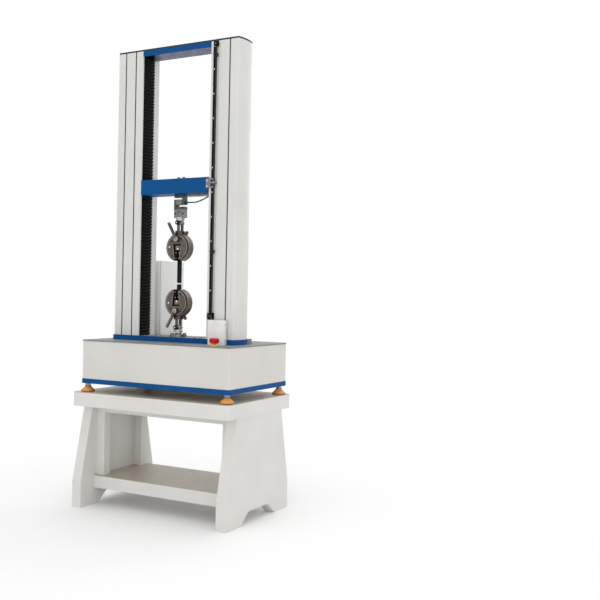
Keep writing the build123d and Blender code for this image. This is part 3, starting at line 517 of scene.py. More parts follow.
def prism(mesh, outline, direction, soften=0.0):
    """Outline of points drawn out along a direction, its edges rounded by soften."""
    low = [mesh.verts.new(corner) for corner in outline]
    high = [mesh.verts.new(corner + direction) for corner in outline]
    faces = [mesh.faces.new(low), mesh.faces.new(high)]
    count = len(outline)
    for index in range(count):
        after = (index + 1) % count
        faces.append(mesh.faces.new([low[index], low[after], high[after], high[index]]))
    if soften:
        edges = list({edge for face in faces for edge in face.edges})
        bmesh.ops.bevel(mesh, geom=edges, offset=soften * MM, segments=2, profile=0.5,
                        affect="EDGES", clamp_overlap=True)


def bar(mesh, low, high, soften=0.4):
    """Block between two corners with rounded edges."""
    outline = [point(x, y, low[2]) for x, y in (
        (low[0], low[1]), (high[0], low[1]), (high[0], high[1]), (low[0], high[1]))]
    prism(mesh, outline, Vector((0, 0, (high[2] - low[2]) * MM)), soften)


def louvre(mesh, x0, x1, y, z, drop=6.0, proud=2.2):
    """Pressed louvre on a face that looks backward: a hood that leans out over its slot."""
    outline = [point(x0, y, z), point(x0, y, z + drop), point(x0, y + proud * 0.5, z + drop * 0.75),
               point(x0, y + proud, z + 0.6), point(x0, y + proud, z)]
    prism(mesh, outline, Vector(((x1 - x0) * MM, 0, 0)), 0.2)


def louvre_rows(hoods, slots, x0, x1, y, levels):
    """Louvres at the levels given in one mesh, painted shade in their openings in another."""
    for z in levels:
        louvre(hoods, x0, x1, y, z)
        bar(slots, (x0 + 2, y - 0.3, z - 1.6), (x1 - 2, y + 0.25, z + 0.2), 0.1)


def sector(mesh, centre, inner, outer, depth, start, end, steps):
    """Part of a flat ring that faces -Y, between two angles measured from straight up."""
    rows = []
    for index in range(steps + 1):
        angle = start + (end - start) * index / steps
        way = Vector((sin(angle), 0, cos(angle)))
        front = Vector((0, -depth * MM, 0))
        rows.append([
            mesh.verts.new(centre + way * inner * MM), mesh.verts.new(centre + way * outer * MM),
            mesh.verts.new(centre + way * (outer - 0.15) * MM + front),
            mesh.verts.new(centre + way * (inner + 0.15) * MM + front)])
    for first, second in zip(rows, rows[1:]):
        for index in range(4):
            after = (index + 1) % 4
            mesh.faces.new([first[index], first[after], second[after], second[index]])
    mesh.faces.new(rows[0])
    mesh.faces.new(rows[-1])


# Cable from the load cell to the duct, along the part's own route, in metres

CABLE_DIAMETER = 0.0064
CABLE_ROUTE = [
    (0.039, -0.045, 1.486), (0.059, -0.045, 1.486), (0.085, -0.046, 1.485),
    (0.113, -0.046, 1.491), (0.142, -0.044, 1.503), (0.170, -0.043, 1.516),
]


def make_cable():
    data = bpy.data.curves.new("cell_cable", "CURVE")
    data.dimensions = "3D"
    data.bevel_depth = CABLE_DIAMETER / 2
    data.bevel_resolution = 6
    data.use_fill_caps = True
    data.resolution_u = 12
    spline = data.splines.new("NURBS")
    spline.points.add(len(CABLE_ROUTE) - 1)
    for vertex, place in zip(spline.points, CABLE_ROUTE):
        vertex.co = (*place, 1.0)
    spline.order_u = 3
    spline.use_endpoint_u = True
    data.materials.append(materials["cable_black"])
    cable = bpy.data.objects.new("cell_cable", data)
    scene.collection.objects.link(cable)
    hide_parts("load_cell_cable")
    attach(cable, "crosshead")


make_cable()


# Bellows: pleated strips over the slots of the columns

BELLOWS_FACE = 194.2
BELLOWS_FRONT = -92.4
BELLOWS_BACK = -9.6
BELLOWS_THICKNESS = 4.2
BELLOWS_END_GAP = 0.4
PLEAT_PITCH = 16.0
PLEAT_DEPTH = 9.5
PLEAT_PINCH = 2.6


def make_bellows(name, side, low, high):
    """Strip of pleats between two levels."""
    low, high = low + BELLOWS_END_GAP, high - BELLOWS_END_GAP
    mesh = bmesh.new()
    folds = 2 * round((high - low) / PLEAT_PITCH)
    rows = []
    for step in range(2 * folds + 1):
        # Peaks and valleys with a point between, so that each fold keeps a rounded crease
        phase = step / 2 % 2
        rise = 1 - abs(1 - phase)
        crest = 0.5 - 0.5 * cos(pi * rise)
        lift = 0.35 * crest + 0.65 * rise
        level = low + (high - low) * step / (2 * folds)
        out = BELLOWS_FACE + PLEAT_DEPTH * (1 - lift)
        pinch = PLEAT_PINCH * (1 - lift)
        near, far = BELLOWS_FRONT + pinch, BELLOWS_BACK - pinch
        inner = out + BELLOWS_THICKNESS
        outline = [(out, near + 4), (out, far - 4), (out + 1.2, far - 1),
                   (inner, far), (inner, near), (out + 1.2, near + 1)]
        rows.append([mesh.verts.new(point(side * x, y, level)) for x, y in outline])
    for first, second in zip(rows, rows[1:]):
        for index in range(6):
            after = (index + 1) % 6
            mesh.faces.new([first[index], first[after], second[after], second[index]])
    mesh.faces.new(rows[0])
    mesh.faces.new(rows[-1])
    piece = finish_piece(name, mesh, materials["bellows_black"], None)
    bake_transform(piece)
    return piece


for side, place in ((-1, "left"), (1, "right")):
    upper = make_bellows("bellows_upper_" + place, side, CROSSHEAD_TOP, BEAM_BOTTOM)
    lower = make_bellows("bellows_lower_" + place, side, TABLE_TOP, CROSSHEAD_BOTTOM)
    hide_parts("upper_bellows")
    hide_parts("lower_bellows")


# Grips: the same details on both, the lower one turned over

WINDOW_HALF_ANGLE = asin(14.5 / 50)
COVER_RING_STEPS = 96
DRUM_RIM = 66.9
BAND_RIM = 67.35
BAND_WIDTH = 1.5
BAND_STEPS = 88
# Screws of the covers as (x, s)
FRONT_SCREWS = ((25, -42), (-25, -42), (24, 42), (-30, 30))
BACK_SCREWS = ((36, 20), (-36, 20), (28, -36), (-28, -36), (0, -48))
KNOB_RIBS = 20
# Along the handle, from the axis of its hub
SLEEVE_START = 28
SLEEVE_RIBS = 18
RIB_PITCH = 3
TIP_START = 86.6
JAW_TEETH = 15
TOOTH_PITCH = 3.1
FIRST_TOOTH_S = -60


def grip_point(grip, x, y, s):
    """Place on a grip: x and y from its axis, s from its centre away from the specimen."""
    centre = UPPER_GRIP if grip == "upper" else LOWER_GRIP
    sign = 1 if grip == "upper" else -1
    return point(x, AXIS_Y + y, centre + sign * s)


def cover_details(grip, body):
    """Rim rings, screws, a painted-shade groove and painted window highlights of the two covers."""
    front = grip_point(grip, 0, -COVER_FACE, 0)
    mouth = pi if grip == "upper" else 0
    start, end = mouth + WINDOW_HALF_ANGLE, mouth + 2 * pi - WINDOW_HALF_ANGLE
    mesh = bmesh.new()
    sector(mesh, front, 56.0, 57.9, 0.2, start, end, COVER_RING_STEPS)
    finish_piece(grip + "_cover_ring", mesh, ring_bronze, body)
    # Painted shade: a thin dark ring on the cover, standing for the shade in a turned groove
    mesh = bmesh.new()
    sector(mesh, front, 52.6, 53.8, 0.12, start + 0.02, end - 0.02, COVER_RING_STEPS)
    finish_piece(grip + "_groove_painted_shade", mesh, dark_moulded_and_groove_shade, body)
    mesh = bmesh.new()
    # Raised bands round the drum, left open over the window
    first, span = start + 0.05, end - start - 0.1
    for ring_y in (-CORE_FACE + 1.5, CORE_FACE - 3.0):
        centre = grip_point(grip, 0, ring_y, 0)
        for step in range(BAND_STEPS):
            angle = first + span * step / BAND_STEPS
            after = first + span * (step + 1) / BAND_STEPS
            corners = (angle, DRUM_RIM), (angle, BAND_RIM), (after, BAND_RIM), (after, DRUM_RIM)
            outline = [centre + Vector((sin(a), 0, cos(a))) * reach * MM for a, reach in corners]
            prism(mesh, outline, Vector((0, BAND_WIDTH * MM, 0)))
    finish_piece(grip + "_rim_bands", mesh, ring_bronze, body)

    mesh = bmesh.new()
    for x, s in FRONT_SCREWS:
        cap_screw(mesh, grip_point(grip, x, -COVER_FACE, s), FORWARD, 4.2, 1.8)
    for x, s in BACK_SCREWS:
        cap_screw(mesh, grip_point(grip, x, COVER_FACE, s), BACKWARD, 5.0, 3.0)
    finish_piece(grip + "_cover_screws", mesh, dark_steel, body)
    mesh = bmesh.new()
    cap_screw(mesh, grip_point(grip, -43, -COVER_FACE, 2), FORWARD, 4.6, 2.6)
    finish_piece(grip + "_bright_screw", mesh, bright_steel, body)
    mesh = bmesh.new()
    for side in (-1, 1):
        # Painted highlight: a bright strip down each side of the window, where its edge catches the
        # light
        foot = grip_point(grip, side * 13.9, -COVER_FACE, -56)
        head = grip_point(grip, side * 23.6, -COVER_FACE, 13)
        across = Vector((side * 1.5 * MM, 0, 0))
        prism(mesh, [foot, head, head + across, foot + across], Vector((0, -0.3 * MM, 0)))
    finish_piece(grip + "_window_edge_highlights", mesh, ring_bronze, body)


def pin_details(grip, body):
    """Ribs and a cap screw on the coupling pin's knob, a ring on its far end."""
    mesh = bmesh.new()
    for step in range(KNOB_RIBS):
        a = 2 * pi * step / KNOB_RIBS
        place = grip_point(grip, KNOB_RADIUS * cos(a), -KNOB_START - 2, PIN_S)
        place.z += KNOB_RADIUS * sin(a) * MM
        turned(mesh, [(1.1, 0), (1.1, KNOB_LENGTH - 6), (0.6, KNOB_LENGTH - 5)], place, FORWARD, 8)
    finish_piece(grip + "_knob_ribs", mesh, materials["knob_black"], body)
    mesh = bmesh.new()
    cap_screw(mesh, grip_point(grip, 0, -KNOB_START - KNOB_LENGTH, PIN_S), FORWARD, 3.4, 1.4)
    turned(mesh, [(7.6, 0), (8.0, 0.4), (8.0, 1.6), (5.4, 2.0), (5.2, 2.0), (0, 2.4)],
           grip_point(grip, 0, CORE_FACE + 0.6, PIN_S), BACKWARD, 24)
    finish_piece(grip + "_pin_ends", mesh, bright_steel, body)


def lever_details(grip):
    """Hub rings and screws, grooved sleeve and bright tip of the handle."""
    sign = 1 if grip == "upper" else -1
    body = grip + "_lever"
    hub = grip_point(grip, 0, -LEVER_FACE - HUB_DEPTH, LEVER_S)
    mesh = bmesh.new()
    turned(mesh, [(HUB_RADIUS - 1.5, 0), (HUB_RADIUS - 2.2, 0.9), (7.4, 0.9), (7.0, 0.2), (0, 0.2)],
           hub, FORWARD, 40)
    cap_screw(mesh, hub + Vector((0, -0.2 * MM, 0)), FORWARD, 5.2, 3.2)
    cap_screw(mesh, grip_point(grip, 0, LEVER_FACE + HUB_DEPTH, LEVER_S), BACKWARD, 5.2, 3.2)
    finish_piece(grip + "_hub_screws", mesh, ring_bronze, body)

    way = Vector((-sin(HANDLE_ANGLE), 0, sign * cos(HANDLE_ANGLE)))
    start = grip_point(grip, 0, -HANDLE_Y, LEVER_S)
    # The sleeve stays thin, because the handle swings half a millimetre in front of the cover
    peak, valley = HANDLE_RADIUS + 0.15, HANDLE_RADIUS + 0.06
    rings = [(HANDLE_RADIUS - 0.4, 0), (peak, 0.5)]
    for rib in range(SLEEVE_RIBS):
        foot = RIB_PITCH * rib
        rings += [(peak, 2 + foot), (valley, 2.4 + foot), (valley, 3.6 + foot), (peak, 4 + foot)]
    rings += [(peak, 57), (HANDLE_RADIUS - 0.4, 58)]
    mesh = bmesh.new()
    turned(mesh, rings, start + way * SLEEVE_START * MM, way, 48)
    # Painted light: the upper sleeve takes the darker copy of the handle steel, the lower one the
    # lighter copy
    finish_piece(grip + "_handle_sleeve", mesh, handle_lit_and_shaded[grip], body)
    mesh = bmesh.new()
    turned(mesh, [(HANDLE_RADIUS - 0.2, 0), (HANDLE_RADIUS + 0.3, 0.5), (HANDLE_RADIUS + 0.3, 3.4),
                  (HANDLE_RADIUS - 1.4, 5.6), (2.2, 6.0), (1.8, 5.4), (0, 5.2)],
           start + way * TIP_START * MM, way, 32)
    finish_piece(grip + "_handle_tip", mesh, ring_bronze, body)


def jaw_details(grip):
    """Teeth on the faces that grip the specimen, screws on each jaw and a boss on the carrier."""
    for side, hand in ((-1, "left"), (1, "right")):
        body = "%s_jaw_%s" % (grip, hand)
        mesh = bmesh.new()
        for row in range(JAW_TEETH):
            spot = grip_point(grip, 0, -17.6, FIRST_TOOTH_S + row * TOOTH_PITCH)
            low = Vector((side * 5.45 * MM, spot.y, spot.z))
            tip = Vector((side * 5.08 * MM, spot.y, spot.z + 0.7 * MM))
            high = low + Vector((0, 0, 1.4 * MM))
            prism(mesh, [low, tip, high], Vector((0, 35.2 * MM, 0)))
        finish_piece("%s_teeth_%s" % (grip, hand), mesh, dark_steel, body)
        mesh = bmesh.new()
        for x, s in ((9.2, -26), (9.8, -52)):
            cap_screw(mesh, grip_point(grip, side * x, -18.0, s), FORWARD, 2.6, 1.0, 12)
        finish_piece("%s_jaw_screws_%s" % (grip, hand), mesh, ring_bronze, body)
    mesh = bmesh.new()
    # Low enough on the carrier to stay inside the cover's window at the top of its travel
    turned(mesh, [(4.4, 0), (4.8, 0.4), (4.8, 1.6), (3.6, 2.4), (3.2, 1.2), (0, 1.0)],
           grip_point(grip, 0, -CORE_FACE + 0.2, -6.2), FORWARD, 28)
    finish_piece(grip + "_carrier_boss", mesh, bright_steel, grip + "_carrier")


for grip, body in (("upper", "crosshead"), ("lower", "frame")):
    cover_details(grip, body)
    pin_details(grip, body)
    lever_details(grip)
    jaw_details(grip)


# Specimen's gauge band

def make_band():
    mesh = bmesh.new()
    bar(mesh, (-5.6, AXIS_Y - 12.6, 1090), (5.6, AXIS_Y + 12.6, 1097), 0.2)
    finish_piece("specimen_band", mesh, band_white, "frame")


make_band()


# Crosshead: bracket screws, plate screws, cable gland, coupling collars

CROSSHEAD_BACK = -3.0
CROSSHEAD_MIDDLE = 1560.0
WASHER_PLATE_TOP = 1600.0
DUCT_FRONT = AXIS_Y - 12.0
DUCT_MIDDLE = 1518.5
CELL_FRONT = AXIS_Y - 12.5
GLAND_FACE = 31.0
GLAND_LEVEL = 1486.0
COLLAR_RINGS = [
    (22.0, 0), (22.5, 0.5), (22.5, 3.4), (21.2, 4.2),
    (21.2, 8.4), (22.5, 9.2), (22.5, 12), (22.0, 12.4),
]
COLLARS = {"coupling_collar": (1399.6, "crosshead"), "adaptor_collar": (857.0, "frame")}


def make_crosshead_details():
    mesh = bmesh.new()
    for z in (1577, 1551):
        cap_screw(mesh, point(193, BRACKET_FRONT, z), FORWARD, 4.0, 2.6)
    finish_piece("bracket_screws", mesh, bright_steel, "crosshead")

    mesh = bmesh.new()
    for x in (-176, -60, 60, 176):
        cap_screw(mesh, point(x, CROSSHEAD_BACK, CROSSHEAD_MIDDLE), BACKWARD, 5.0, 2.4)
    finish_piece("crosshead_screws", mesh, dark_steel, "crosshead")

    mesh = bmesh.new()
    for x in (-27, 27):
        for y in (-17, 17):
            cap_screw(mesh, point(x, AXIS_Y + y, WASHER_PLATE_TOP), UPWARD, 3.4, 2.6)
    finish_piece("washer_plate_screws", mesh, materials["fixing_steel"], "crosshead")

    mesh = bmesh.new()
    for x in (60, 116, 172):
        button_screw(mesh, point(x, DUCT_FRONT, DUCT_MIDDLE), FORWARD, 2.6)
    finish_piece("duct_screws", mesh, dark_steel, "crosshead")

    mesh = bmesh.new()
    rings = [(6.9, 0)]
    for rib in range(3):
        rings += [(7.6, 0.6 + rib * 2.2), (7.6, 1.6 + rib * 2.2), (6.9, 2.2 + rib * 2.2)]
    rings += [(5.2, 8.0), (0, 9.4)]
    turned(mesh, rings, point(GLAND_FACE, AXIS_Y, GLAND_LEVEL), RIGHTWARD, 32)
    finish_piece("gland_nut", mesh, black_moulded_and_slot_shade, "crosshead")

    mesh = bmesh.new()
    for x in (-18, 18):
        for z in (1462, 1514):
            cap_screw(mesh, point(x, CELL_FRONT, z), FORWARD, 3.2, 2.0)
    for x in (-22, 22):
        cap_screw(mesh, point(x, CELL_FRONT, 1432), FORWARD, 4.0, 2.6)
    finish_piece("cell_screws", mesh, dark_steel, "crosshead")

    mesh = bmesh.new()
    bar(mesh, (-20, CELL_FRONT - 0.4, 1476), (12, CELL_FRONT + 0.1, 1500), 0.2)
    finish_piece("cell_cover", mesh, materials["coupling_steel"], "crosshead")

    for name, (level, body) in COLLARS.items():
        mesh = bmesh.new()
        turned(mesh, COLLAR_RINGS, point(0, AXIS_Y, level), UPWARD, 48)
        finish_piece(name, mesh, nickel, body)


make_crosshead_details()


# Limit stops and switch in front of the right column

RAIL_X = 217.0
RAIL_FRONT = -99.0
RAIL_SCREWS = 10
RAIL_FIRST_SCREW = 1063.0
RAIL_SCREW_PITCH = 115.0
STOP_FRONT = -119.0
SWITCH_FRONT = -117.0
SWITCH_TOP = 958.0
ROD_BRACKET_FRONT = -116.0
ROD_BRACKET_MIDDLE = 2212.0


def ribbed_knob(mesh, place, axis, radius, length, ribs):
    """Ribs round a thumb knob and a chamfered cap on its end."""
    axis = Vector(axis)
    side = axis.orthogonal().normalized()
    other = axis.cross(side)
    for step in range(ribs):
        a = 2 * pi * step / ribs
        spot = place + (side * cos(a) + other * sin(a)) * radius * MM
        turned(mesh, [(0.55, 0), (0.55, length - 1.2), (0.2, length - 0.6)], spot, axis, 6)
    turned(mesh, [(radius * 0.62, 0), (radius * 0.62, 0.5), (radius * 0.50, 0.9), (0, 0.9)],
           place + axis * length * MM, axis, 18)


def make_limit_details():
    mesh = bmesh.new()
    for index in range(RAIL_SCREWS):
        level = RAIL_FIRST_SCREW + RAIL_SCREW_PITCH * index
        cap_screw(mesh, point(RAIL_X, RAIL_FRONT, level), FORWARD, 3.9, 2.3, 16)
    finish_piece("rail_screws", mesh, bright_steel, "frame")

    for body, level in STOP_LEVELS.items():
        mesh = bmesh.new()
        ribbed_knob(mesh, point(ROD_X, STOP_FRONT, level), FORWARD, 5.5, 10.0, 14)
        for rise in (-8.2, 7.4):
            turned(mesh, [(8.4, 0), (9.3, 0.3), (9.3, 0.6), (8.4, 0.8)],
                   point(ROD_X, ROD_Y, level + rise), UPWARD, 32)
        finish_piece(body + "_knurls", mesh, dark_steel, body)

    mesh = bmesh.new()
    for x, z in ((216.5, 953), (237.5, 933), (216.5, 933)):
        button_screw(mesh, point(x, SWITCH_FRONT, z), FORWARD, 2.6)
    button_screw(mesh, point(ROD_X, ROD_BRACKET_FRONT, ROD_BRACKET_MIDDLE), FORWARD, 3.2)
    finish_piece("switch_screws", mesh, materials["fixing_steel"], "frame")
    mesh = bmesh.new()
    bar(mesh, (214, SWITCH_FRONT - 0.6, 938.5), (240, SWITCH_FRONT, 948.0), 0.2)
    turned(mesh, [(6.6, 0), (6.6, 1.4), (5.6, 2.4), (4.3, 2.4), (4.3, 0)],
           point(ROD_X, ROD_Y, SWITCH_TOP), UPWARD, 24)
    finish_piece("switch_cover", mesh, dark_moulded_and_groove_shade, "frame")


make_limit_details()


# Controls: control box, stop button, cabinet

CONTROL_LEFT = 231.0
CONTROL_RIGHT = 317.0
CONTROL_SCREW_Y = -122.0
SEAM_FRONT = -113.0
SEAM_BACK = -112.2
ESTOP_RIBS = 28
ESTOP_RIB_RADIUS = 20.6
ESTOP_RIB_FOOT = 829.0
SPRING_FOOT = 820.1
SPRING_PITCH = 1.45
CABINET_LOUVRES = [1080 + 11 * row for row in range(9)]
FAN_X = -255.0
FAN_Z = 1125.0
GUARD_RADIUS = 34.0


def make_control_details():
    mesh = bmesh.new()
    # Seam of the control box, up its sides and across its top
    for x in (CONTROL_LEFT - 0.2, CONTROL_RIGHT - 0.1):
        bar(mesh, (x, SEAM_FRONT, 813.0), (x + 0.3, SEAM_BACK, 925.0), 0.0)
    bar(mesh, (CONTROL_LEFT + 1, SEAM_FRONT, 925.9), (CONTROL_RIGHT - 1, SEAM_BACK, 926.2), 0.0)
    finish_piece("control_seam", mesh, dark_moulded_and_groove_shade, "frame")
    mesh = bmesh.new()
    for z in (832, 906):
        button_screw(mesh, point(CONTROL_RIGHT, CONTROL_SCREW_Y, z), RIGHTWARD, 2.8)
        button_screw(mesh, point(CONTROL_LEFT, CONTROL_SCREW_Y, z), LEFTWARD, 2.8)
    finish_piece("control_screws", mesh, materials["fixing_steel"], "frame")

    mesh = bmesh.new()
    for step in range(ESTOP_RIBS):
        a = 2 * pi * step / ESTOP_RIBS
        spot = point(ESTOP_X + ESTOP_RIB_RADIUS * cos(a), ESTOP_Y + ESTOP_RIB_RADIUS * sin(a),
                     ESTOP_RIB_FOOT)
        way = Vector((1.9 * cos(a), 1.9 * sin(a), 12.0)).normalized()
        turned(mesh, [(0.5, 0), (1.0, 0.8), (1.0, 12.6), (0.4, 13.6)], spot, way, 8)
    finish_piece("estop_ribs", mesh, materials["button_red"], "estop_button")
    mesh = bmesh.new()
    turned(mesh, [(13.6, -0.6), (13.9, 0.1), (13.3, 0.45), (11.8, 0.45),
                  (11.2, 0.1), (4.0, 0.3), (0, 0.35)],
           point(ESTOP_X, ESTOP_Y, ESTOP_TOP), UPWARD, 48)
    finish_piece("estop_face", mesh, materials["button_red"], "estop_button")
    mesh = bmesh.new()
    turned(mesh, [(19.2, 0), (19.6, 0.5), (19.6, 5.2), (18.6, 6.2),
                  (19.0, 6.6), (18.4, 8.1), (16.0, 8.3)],
           point(ESTOP_X, ESTOP_Y, BASE_TOP), UPWARD, 48)
    finish_piece("estop_flange", mesh, materials["collar_yellow"], "frame")
    mesh = bmesh.new()
    for turn in range(3):
        turned(mesh, [(6.6, 0), (7.6, 0.3), (7.6, 0.9), (6.6, 1.2)],
               point(ESTOP_X, ESTOP_Y, SPRING_FOOT + SPRING_PITCH * turn), UPWARD, 24)
    finish_piece("estop_spring", mesh, materials["fixing_steel"], "frame")


def make_cabinet_details():
    hoods, slots = bmesh.new(), bmesh.new()
    louvre_rows(hoods, slots, CABINET_LEFT + 30, CABINET_LEFT + 110, CABINET_BACK, CABINET_LOUVRES)
    finish_piece("cabinet_louvres", hoods, materials["cabinet_white"], "frame")
    # Painted shade: dark bars in the openings of the louvres
    finish_piece("cabinet_slot_shade", slots, black_moulded_and_slot_shade, "frame")

    mesh = bmesh.new()
    for radius in (9, 17, 25, 33):
        turned(mesh, [(radius, 0), (radius, 1.4), (radius + 1.6, 1.4), (radius + 1.6, 0)],
               point(FAN_X, CABINET_BACK, FAN_Z), BACKWARD, 48)
    centre = point(FAN_X, CABINET_BACK + 0.2, FAN_Z)
    for angle in range(0, 180, 45):
        a = radians(angle)
        way = Vector((cos(a), 0, sin(a))) * GUARD_RADIUS * MM
        across = Vector((-sin(a), 0, cos(a))) * 0.9 * MM
        ends = [centre - way - across, centre + way - across,
                centre + way + across, centre - way + across]
        prism(mesh, ends, Vector((0, 1.0 * MM, 0)))
    finish_piece("cabinet_fan_guard", mesh, materials["fixing_steel"], "frame")
    mesh = bmesh.new()
    turned(mesh, [(36, 0), (36, 0.3), (35, 0.4), (0, 0.4)],
           point(FAN_X, CABINET_BACK, FAN_Z), BACKWARD, 48)
    bar(mesh, (-372, CABINET_BACK, 880), (-330, CABINET_BACK + 1.6, 908), 0.5)
    bar(mesh, (-318, CABINET_BACK, 884), (-300, CABINET_BACK + 1.8, 904), 0.5)
    for place in (-284, -246):
        bar(mesh, (place - 13, CABINET_BACK, 888), (place + 13, CABINET_BACK + 1.4, 899), 1.2)
    finish_piece("cabinet_sockets", mesh, black_moulded_and_slot_shade, "frame")

    mesh = bmesh.new()
    for z in (850, 1010, 1170):
        button_screw(mesh, point(CABINET_RIGHT - 2, 262, z), RIGHTWARD, 3.2)
        button_screw(mesh, point(CABINET_LEFT + 2, 262, z), LEFTWARD, 3.2)
    corners_x = (CABINET_LEFT + 14, CABINET_RIGHT - 14)
    for x in corners_x:
        for z in (828, 1196):
            button_screw(mesh, point(x, CABINET_BACK, z), BACKWARD, 3.2)
    finish_piece("cabinet_screws", mesh, materials["fixing_steel"], "frame")
    mesh = bmesh.new()
    for x in corners_x:
        for y in (84, 266):
            bar(mesh, (x - 9, y - 9, BASE_TOP), (x + 9, y + 9, BASE_TOP + 2.2), 0.6)
    finish_piece("cabinet_pads", mesh, black_moulded_and_slot_shade, "frame")


make_control_details()
make_cabinet_details()


# Frame: caps, base and stand fittings

REAR_PANEL_FACE = BASE_BACK + 1.5
REAR_LOUVRES = [668 + 12 * row for row in range(8)]


def make_frame_details():
    mesh = bmesh.new()
    for side in (-1, 1):
        for x, y in ((222, -84), (330, -84), (222, 10), (318, 10)):
            button_screw(mesh, point(side * x, y, CAP_TOP), UPWARD, 4.5)
    for x in (-150, 0, 150):
        button_screw(mesh, point(x, -36, CAP_TOP), UPWARD, 4.5)
    finish_piece("cap_screws", mesh, dark_steel, "frame")

    mesh = bmesh.new()
    spots = [(x, y) for x in range(-390, 391, 130) for y in (-230, 262)]
    spots += [(x, y) for x in (-414, 414) for y in (-120, 0, 120)]
    for x, y in spots:
        button_screw(mesh, point(x, y, BASE_TOP), UPWARD, 4.2)
    finish_piece("top_plate_screws", mesh, materials["fixing_steel"], "frame")

    mesh = bmesh.new()
    for side in (-1, 1):
        for x in (120, 150):
            for y in (-80, -10):
                cap_screw(mesh, point(side * x, y, TABLE_TOP), UPWARD, 6.5, 4.0)
    finish_piece("table_screws", mesh, materials["fixing_steel"], "frame")

    # Rear panel of the base with its louvres, painted shade in their openings and a dark socket
    panel, slots = bmesh.new(), bmesh.new()
    bar(panel, (-60, BASE_BACK, 650), (340, REAR_PANEL_FACE, 780), 0.5)
    for x in (30, 170):
        louvre_rows(panel, slots, x, x + 110, REAR_PANEL_FACE, REAR_LOUVRES)
    bar(slots, (-44, REAR_PANEL_FACE, 700), (-2, REAR_PANEL_FACE + 1.3, 728), 0.5)
    finish_piece("base_rear_panel", panel, materials["body_white"], "frame")
    finish_piece("base_rear_slot_shade_and_socket", slots, black_moulded_and_slot_shade, "frame")
    mesh = bmesh.new()
    for x in (-52, 140, 332):
        for z in (658, 772):
            button_screw(mesh, point(x, REAR_PANEL_FACE, z), BACKWARD, 3.4)
    finish_piece("base_rear_screws", mesh, materials["fixing_steel"], "frame")


FOOT_SPOTS = [(x, y) for x in (-403, 403) for y in (-225, 245)]
FOOT_BOTTOM = 560.0
WASHER_LEVELS = (584.9, 587.0)
POST_INNER = 345.0
POST_OUTER = 390.0
POST_FRONTS = (-167, 122)
WELD_SIZE = 2.6
# Top of the shelf and underside of the slab, each with the way its weld grows up the post
WELD_LEVELS = ((144.6, 1), (491.4, -1))


def make_stand_details():
    mesh = bmesh.new()
    for x, y in FOOT_SPOTS:
        turned(mesh, [(32.3, 0), (33.0, 0.5), (33.0, 2.6), (32.3, 3.2)],
               point(x, y, FOOT_BOTTOM), UPWARD, 40)
    finish_piece("foot_soles", mesh, black_moulded_and_slot_shade, "frame")
    mesh = bmesh.new()
    for x, y in FOOT_SPOTS:
        for level in WASHER_LEVELS:
            turned(mesh, [(8.3, 0), (15.2, 0.1), (15.6, 0.5), (15.6, 1.2), (15.2, 1.5), (8.3, 1.6)],
                   point(x, y, level), UPWARD, 32)
    finish_piece("foot_washers", mesh, materials["fixing_steel"], "frame")

    # Welds where the posts meet the slab and the shelf
    mesh = bmesh.new()
    for side in (-1, 1):
        x0, x1 = sorted((side * POST_INNER, side * POST_OUTER))
        for post_y in POST_FRONTS:
            for z, lift in WELD_LEVELS:
                outline = [point(x0, post_y - 0.1, z), point(x0, post_y - WELD_SIZE, z),
                           point(x0, post_y - 0.1, z + lift * WELD_SIZE)]
                prism(mesh, outline, Vector(((x1 - x0) * MM, 0, 0)))
    finish_piece("post_welds", mesh, materials["stand_white"], "frame")


make_frame_details()
make_stand_details()


# Stage and light, distances in metres

FLOOR_RADIUS = 14.0
FADE_START = 0.6
FADE_END = 2.0
AMBIENT = 0.79


def make_stage():
    """White floor: paper that takes shadows round the stand, plain white further out."""
    finish = Finish("studio_paper", 0.9, 0.0, 0.2)
    cloud = finish.noise(0.6, 3.0)
    finish.paint(finish.ramp(cloud, [(0.3, (0.92, 0.92, 0.92)), (0.7, (0.94, 0.94, 0.94))]))
    distance = finish.node("ShaderNodeVectorMath", operation="LENGTH")
    finish.link(finish.place, distance.inputs[0])
    fade = finish.node("ShaderNodeMapRange", interpolation_type="SMOOTHSTEP")
    fade.inputs["From Min"].default_value = FADE_START
    fade.inputs["From Max"].default_value = FADE_END
    finish.link(distance.outputs["Value"], fade.inputs["Value"])
    seen = seen_rays(finish.tree)
    amount = finish.node("ShaderNodeMath", operation="MULTIPLY")
    finish.link(fade.outputs["Result"], amount.inputs[0])
    finish.link(seen, amount.inputs[1])
    white = finish.node("ShaderNodeEmission")
    white.inputs["Color"].default_value = (1, 1, 1, 1)
    white.inputs["Strength"].default_value = 1.0
    mix = finish.node("ShaderNodeMixShader")
    finish.link(amount.outputs["Value"], mix.inputs["Fac"])
    finish.link(finish.shader.outputs["BSDF"], mix.inputs[1])
    finish.link(white.outputs["Emission"], mix.inputs[2])
    finish.link(mix.outputs["Shader"], finish.tree.nodes["Material Output"].inputs["Surface"])
    mesh = bmesh.new()
    radius = FLOOR_RADIUS / MM
    turned(mesh, [(0, -1), (radius, -1), (radius, 0), (0, 0)], Vector((0, 0, 0)), UPWARD, 64)
    floor = mesh_object("studio_floor", mesh, finish.material)


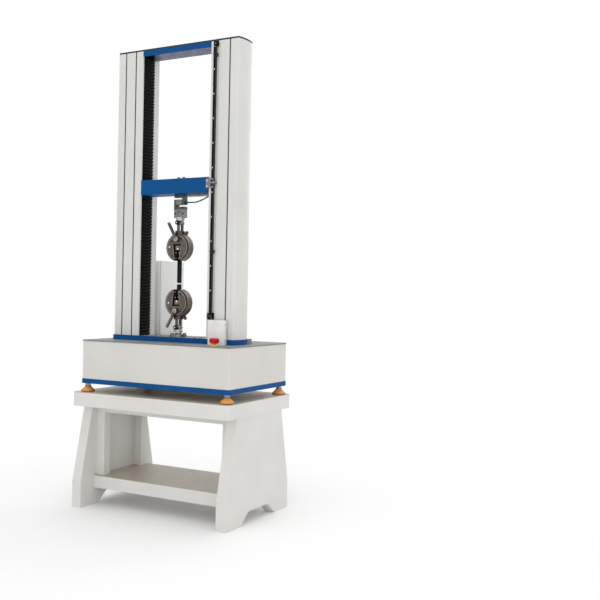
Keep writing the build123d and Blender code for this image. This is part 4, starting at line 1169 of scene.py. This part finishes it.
def seen_rays(tree):
    """1 for what the camera sees directly, in a reflection or through glass."""
    rays = tree.nodes.new("ShaderNodeLightPath")
    total = rays.outputs["Is Camera Ray"]
    for kind in ("Is Glossy Ray", "Is Transmission Ray"):
        larger = tree.nodes.new("ShaderNodeMath")
        larger.operation = "MAXIMUM"
        tree.links.new(total, larger.inputs[0])
        tree.links.new(rays.outputs[kind], larger.inputs[1])
        total = larger.outputs["Value"]
    return total


def area_light(name, place, target, size, power):
    """Round lamp of a width and a power in watts, turned toward its target."""
    data = bpy.data.lights.new(name, "AREA")
    data.shape = "DISK"
    data.size = size
    data.energy = power
    lamp = bpy.data.objects.new(name, data)
    lamp.location = place
    lamp.rotation_euler = (Vector(target) - Vector(place)).to_track_quat("-Z", "Y").to_euler()
    scene.collection.objects.link(lamp)


def make_light():
    area_light("key", (-0.4, -5.1, 2.4), (0, 0, 1.1), 3.0, 12)
    area_light("beside_camera", (2.6, -4.2, 1.2), (0, 0, 0.8), 2.0, 26)
    area_light("fill", (5.0, -0.9, 2.0), (0, 0, 0.9), 3.6, 18)
    area_light("rear", (0.5, 4.8, 3.2), (0, 0, 1.2), 3.6, 46)
    area_light("top", (0, -0.4, 5.6), (0, 0, 0), 4.0, 62)
    world = bpy.data.worlds.new("studio")
    scene.world = world
    world.use_nodes = True
    tree = world.node_tree
    ambient = tree.nodes["Background"]
    ambient.inputs["Color"].default_value = (1, 1, 1, 1)
    ambient.inputs["Strength"].default_value = AMBIENT
    white = tree.nodes.new("ShaderNodeBackground")
    white.inputs["Color"].default_value = (1, 1, 1, 1)
    white.inputs["Strength"].default_value = 1.0
    mix = tree.nodes.new("ShaderNodeMixShader")
    tree.links.new(seen_rays(tree), mix.inputs["Fac"])
    tree.links.new(ambient.outputs["Background"], mix.inputs[1])
    tree.links.new(white.outputs["Background"], mix.inputs[2])
    tree.links.new(mix.outputs["Shader"], tree.nodes["World Output"].inputs["Surface"])
    scene.view_settings.view_transform = "Standard"


make_stage()
make_light()
